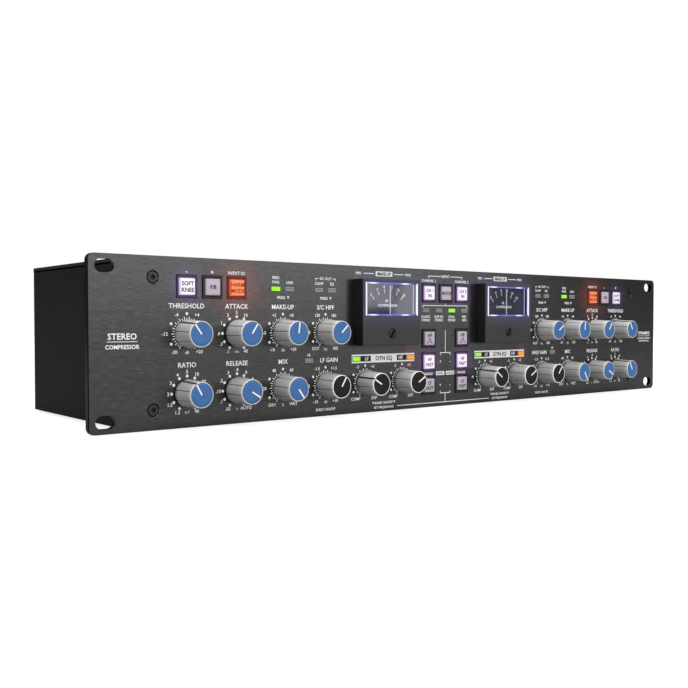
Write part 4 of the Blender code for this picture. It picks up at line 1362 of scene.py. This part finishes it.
def make_rear():
    """Printed words, rules and corner screws on the rear wall."""
    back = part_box("chassis_tray")[1].y
    shape = bmesh.new()
    small = (1.9, 0.04)
    labels = ("S/C IN 2", "INPUT 2", "OUTPUT 2", "OUTPUT 1", "INPUT 1", "S/C IN 1")
    write_rows(shape, [(word, -x, 66.5, 2.5, 0.06) for x, word in zip(SOCKETS_X, labels)])
    rule_rows(shape, [(-x, 63.4, 24.0, 0.4) for x in SOCKETS_X])
    words = (
        ("CHANNEL 2", -42.0, 75.4, 2.7, 0.07),
        ("CHANNEL 1", -178.0, 75.4, 2.7, 0.07),
        ("BALANCED   1 = SCREEN   2 = HOT   3 = COLD", -110.0, 20.5, *small),
        ("MAINS INPUT", 165.0, 66.5, 2.5, 0.06),
        ("100-240 V  50/60 Hz  30 W MAX", 165.0, 22.0, *small),
        ("I", 133.5, 50.0, 2.6, 0.07),
        ("O", 133.5, 38.0, 2.6, 0.07),
        ("DISCONNECT MAINS BEFORE", 70.0, 60.0, *small),
        ("REMOVING THE COVER", 70.0, 56.6, *small),
        ("SERIAL NO.", 50.0, 30.0, *small),
    )
    write_rows(shape, words)
    rule_rows(shape, [(70.0, z, 60.0, 0.35) for z in (25.8, 34.2)])
    rule_rows(shape, [(x, 30.0, 0.35, 8.4) for x in (40.2, 99.8)])
    bmesh.ops.rotate(shape, verts=shape.verts, matrix=Matrix.Rotation(math.pi, 3, "Z"))
    bmesh.ops.translate(shape, verts=shape.verts, vec=(0.0, back + FACE, 0.0))
    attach(piece("rear_words", shape, ["legend"]), "case")
    head = socket_screw(2.4 * MM, 0.5 * MM)
    places = [(x * MM, back + 0.3 * MM, z * MM) for x in (-212.0, 0.0, 212.0) for z in (9.0, 78.0)]
    fasteners("rear_screws", head, places, (0.0, 0.0, math.pi))


def make_cover_lip():
    """The cover's folded lips on both sides, and a thin dark sheet under them as painted shadow in the gap.
    """
    low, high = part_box("top_cover")
    shape = bmesh.new()
    for x in (low.x, high.x):
        start = (x - 0.12 * MM, low.y, high.z - 1.8 * MM)
        block(shape, start, (x + 0.12 * MM, high.y, high.z - 0.2 * MM))
        # Painted shadow: a dark sheet where the gap under the lip lies in shade.
        start = (x - 0.04 * MM, low.y, high.z - 2.7 * MM)
        block(shape, start, (x + 0.04 * MM, high.y, high.z - 1.8 * MM), 1)
    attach(piece("cover_lips", shape, ["lip", "shadow"]), "case")


def dress_nodes():
    """The finishes of the CAD nodes that stay."""
    chosen = {
        "front_panel": "panel",
        "chassis_tray": "case",
        "top_cover": "case",
        "meter_housing_left": "meter",
        "meter_housing_right": "meter",
        "control_board": "bezels",
        "main_board": "board",
        "power_module": "board",
        "power_inlet": "plastic",
        "power_rocker": "plastic",
        "audio_socket_board": "connectors",
        "meter_needle_left": "needle",
        "meter_needle_right": "needle",
    }
    for name, node in frame["nodes"].items():
        finish = "steel" if name.startswith("shaft_") else chosen.get(name)
        if finish:
            for slot in node.material_slots:
                slot.material = FINISHES[finish]


# ---------------------------------------------------------------- camera, floor and light


def make_camera():
    """The camera, at the front left, level with the panel."""
    lens = bpy.data.cameras.new("camera")
    lens.lens = CAMERA_LENS
    lens.sensor_width = 36.0
    lens.clip_start = 0.01
    lens.clip_end = 100.0
    camera = linked("camera", lens)
    camera.location = CAMERA_PLACE
    camera.rotation_euler = (math.radians(90.0 + CAMERA_PITCH), 0.0, math.radians(-CAMERA_YAW))
    bpy.context.scene.camera = camera


def soft_light(name, centre, size, power, turn):
    """A rectangular light: its size, its power in watts and its turn in degrees."""
    lamp = bpy.data.lights.new(name, "AREA")
    lamp.shape = "RECTANGLE"
    lamp.size, lamp.size_y = size
    lamp.energy = power
    made = linked(name, lamp)
    made.location = centre
    made.rotation_euler = [math.radians(angle) for angle in turn]


def make_studio():
    """Pale floor, white surroundings for the camera, soft lights."""
    shape = bmesh.new()
    bmesh.ops.create_grid(shape, x_segments=1, y_segments=1, size=12.0)
    floor = piece("floor", shape, ["floor"])
    floor.data.transform(Matrix.Translation((0.0, 0.0, PANEL_LOW.z - 0.2 * MM)))
    world = bpy.data.worlds.new("surroundings")
    world.use_nodes = True
    bpy.context.scene.world = world
    sheet = Sheet(world.node_tree)
    back = world.node_tree.nodes["Background"]
    seen = sheet.add("ShaderNodeLightPath", out="Is Camera Ray")
    sheet.feed(back.inputs["Color"], sheet.mix(seen, grey(0.09), (1.0, 1.0, 1.0)))
    soft_light("wide_front_light", (0.4525, -2.0, 0.95), (2.45, 1.7), 17.0, (90.0, 0.0, 0.0))
    soft_light("right_front_light", (2.13, -2.0, 0.765), (0.43, 1.75), 3.0, (90.0, 18.0, 0.0))
    soft_light("top_light", (0.0, -0.1, 2.0), (2.6, 2.0), 62.0, grey(0.0))
    soft_light("left_light", (-2.2, -0.9, 0.9), (1.6, 1.6), 16.0, (90.0, 0.0, -68.0))
    soft_light("right_back_light", (1.9, 1.7, 0.8), (1.6, 1.2), 30.0, (90.0, 0.0, 132.0))
    bpy.context.scene.view_settings.view_transform = "Standard"


make_camera()
make_studio()
dress_nodes()
make_scales()
make_titles()
make_centre_legend()
make_label_boxes()
make_knobs()
make_buttons()
make_lenses()
for side_word in SIDES:
    make_meter(side_word)
make_screws()
make_cover_lip()
make_rear()
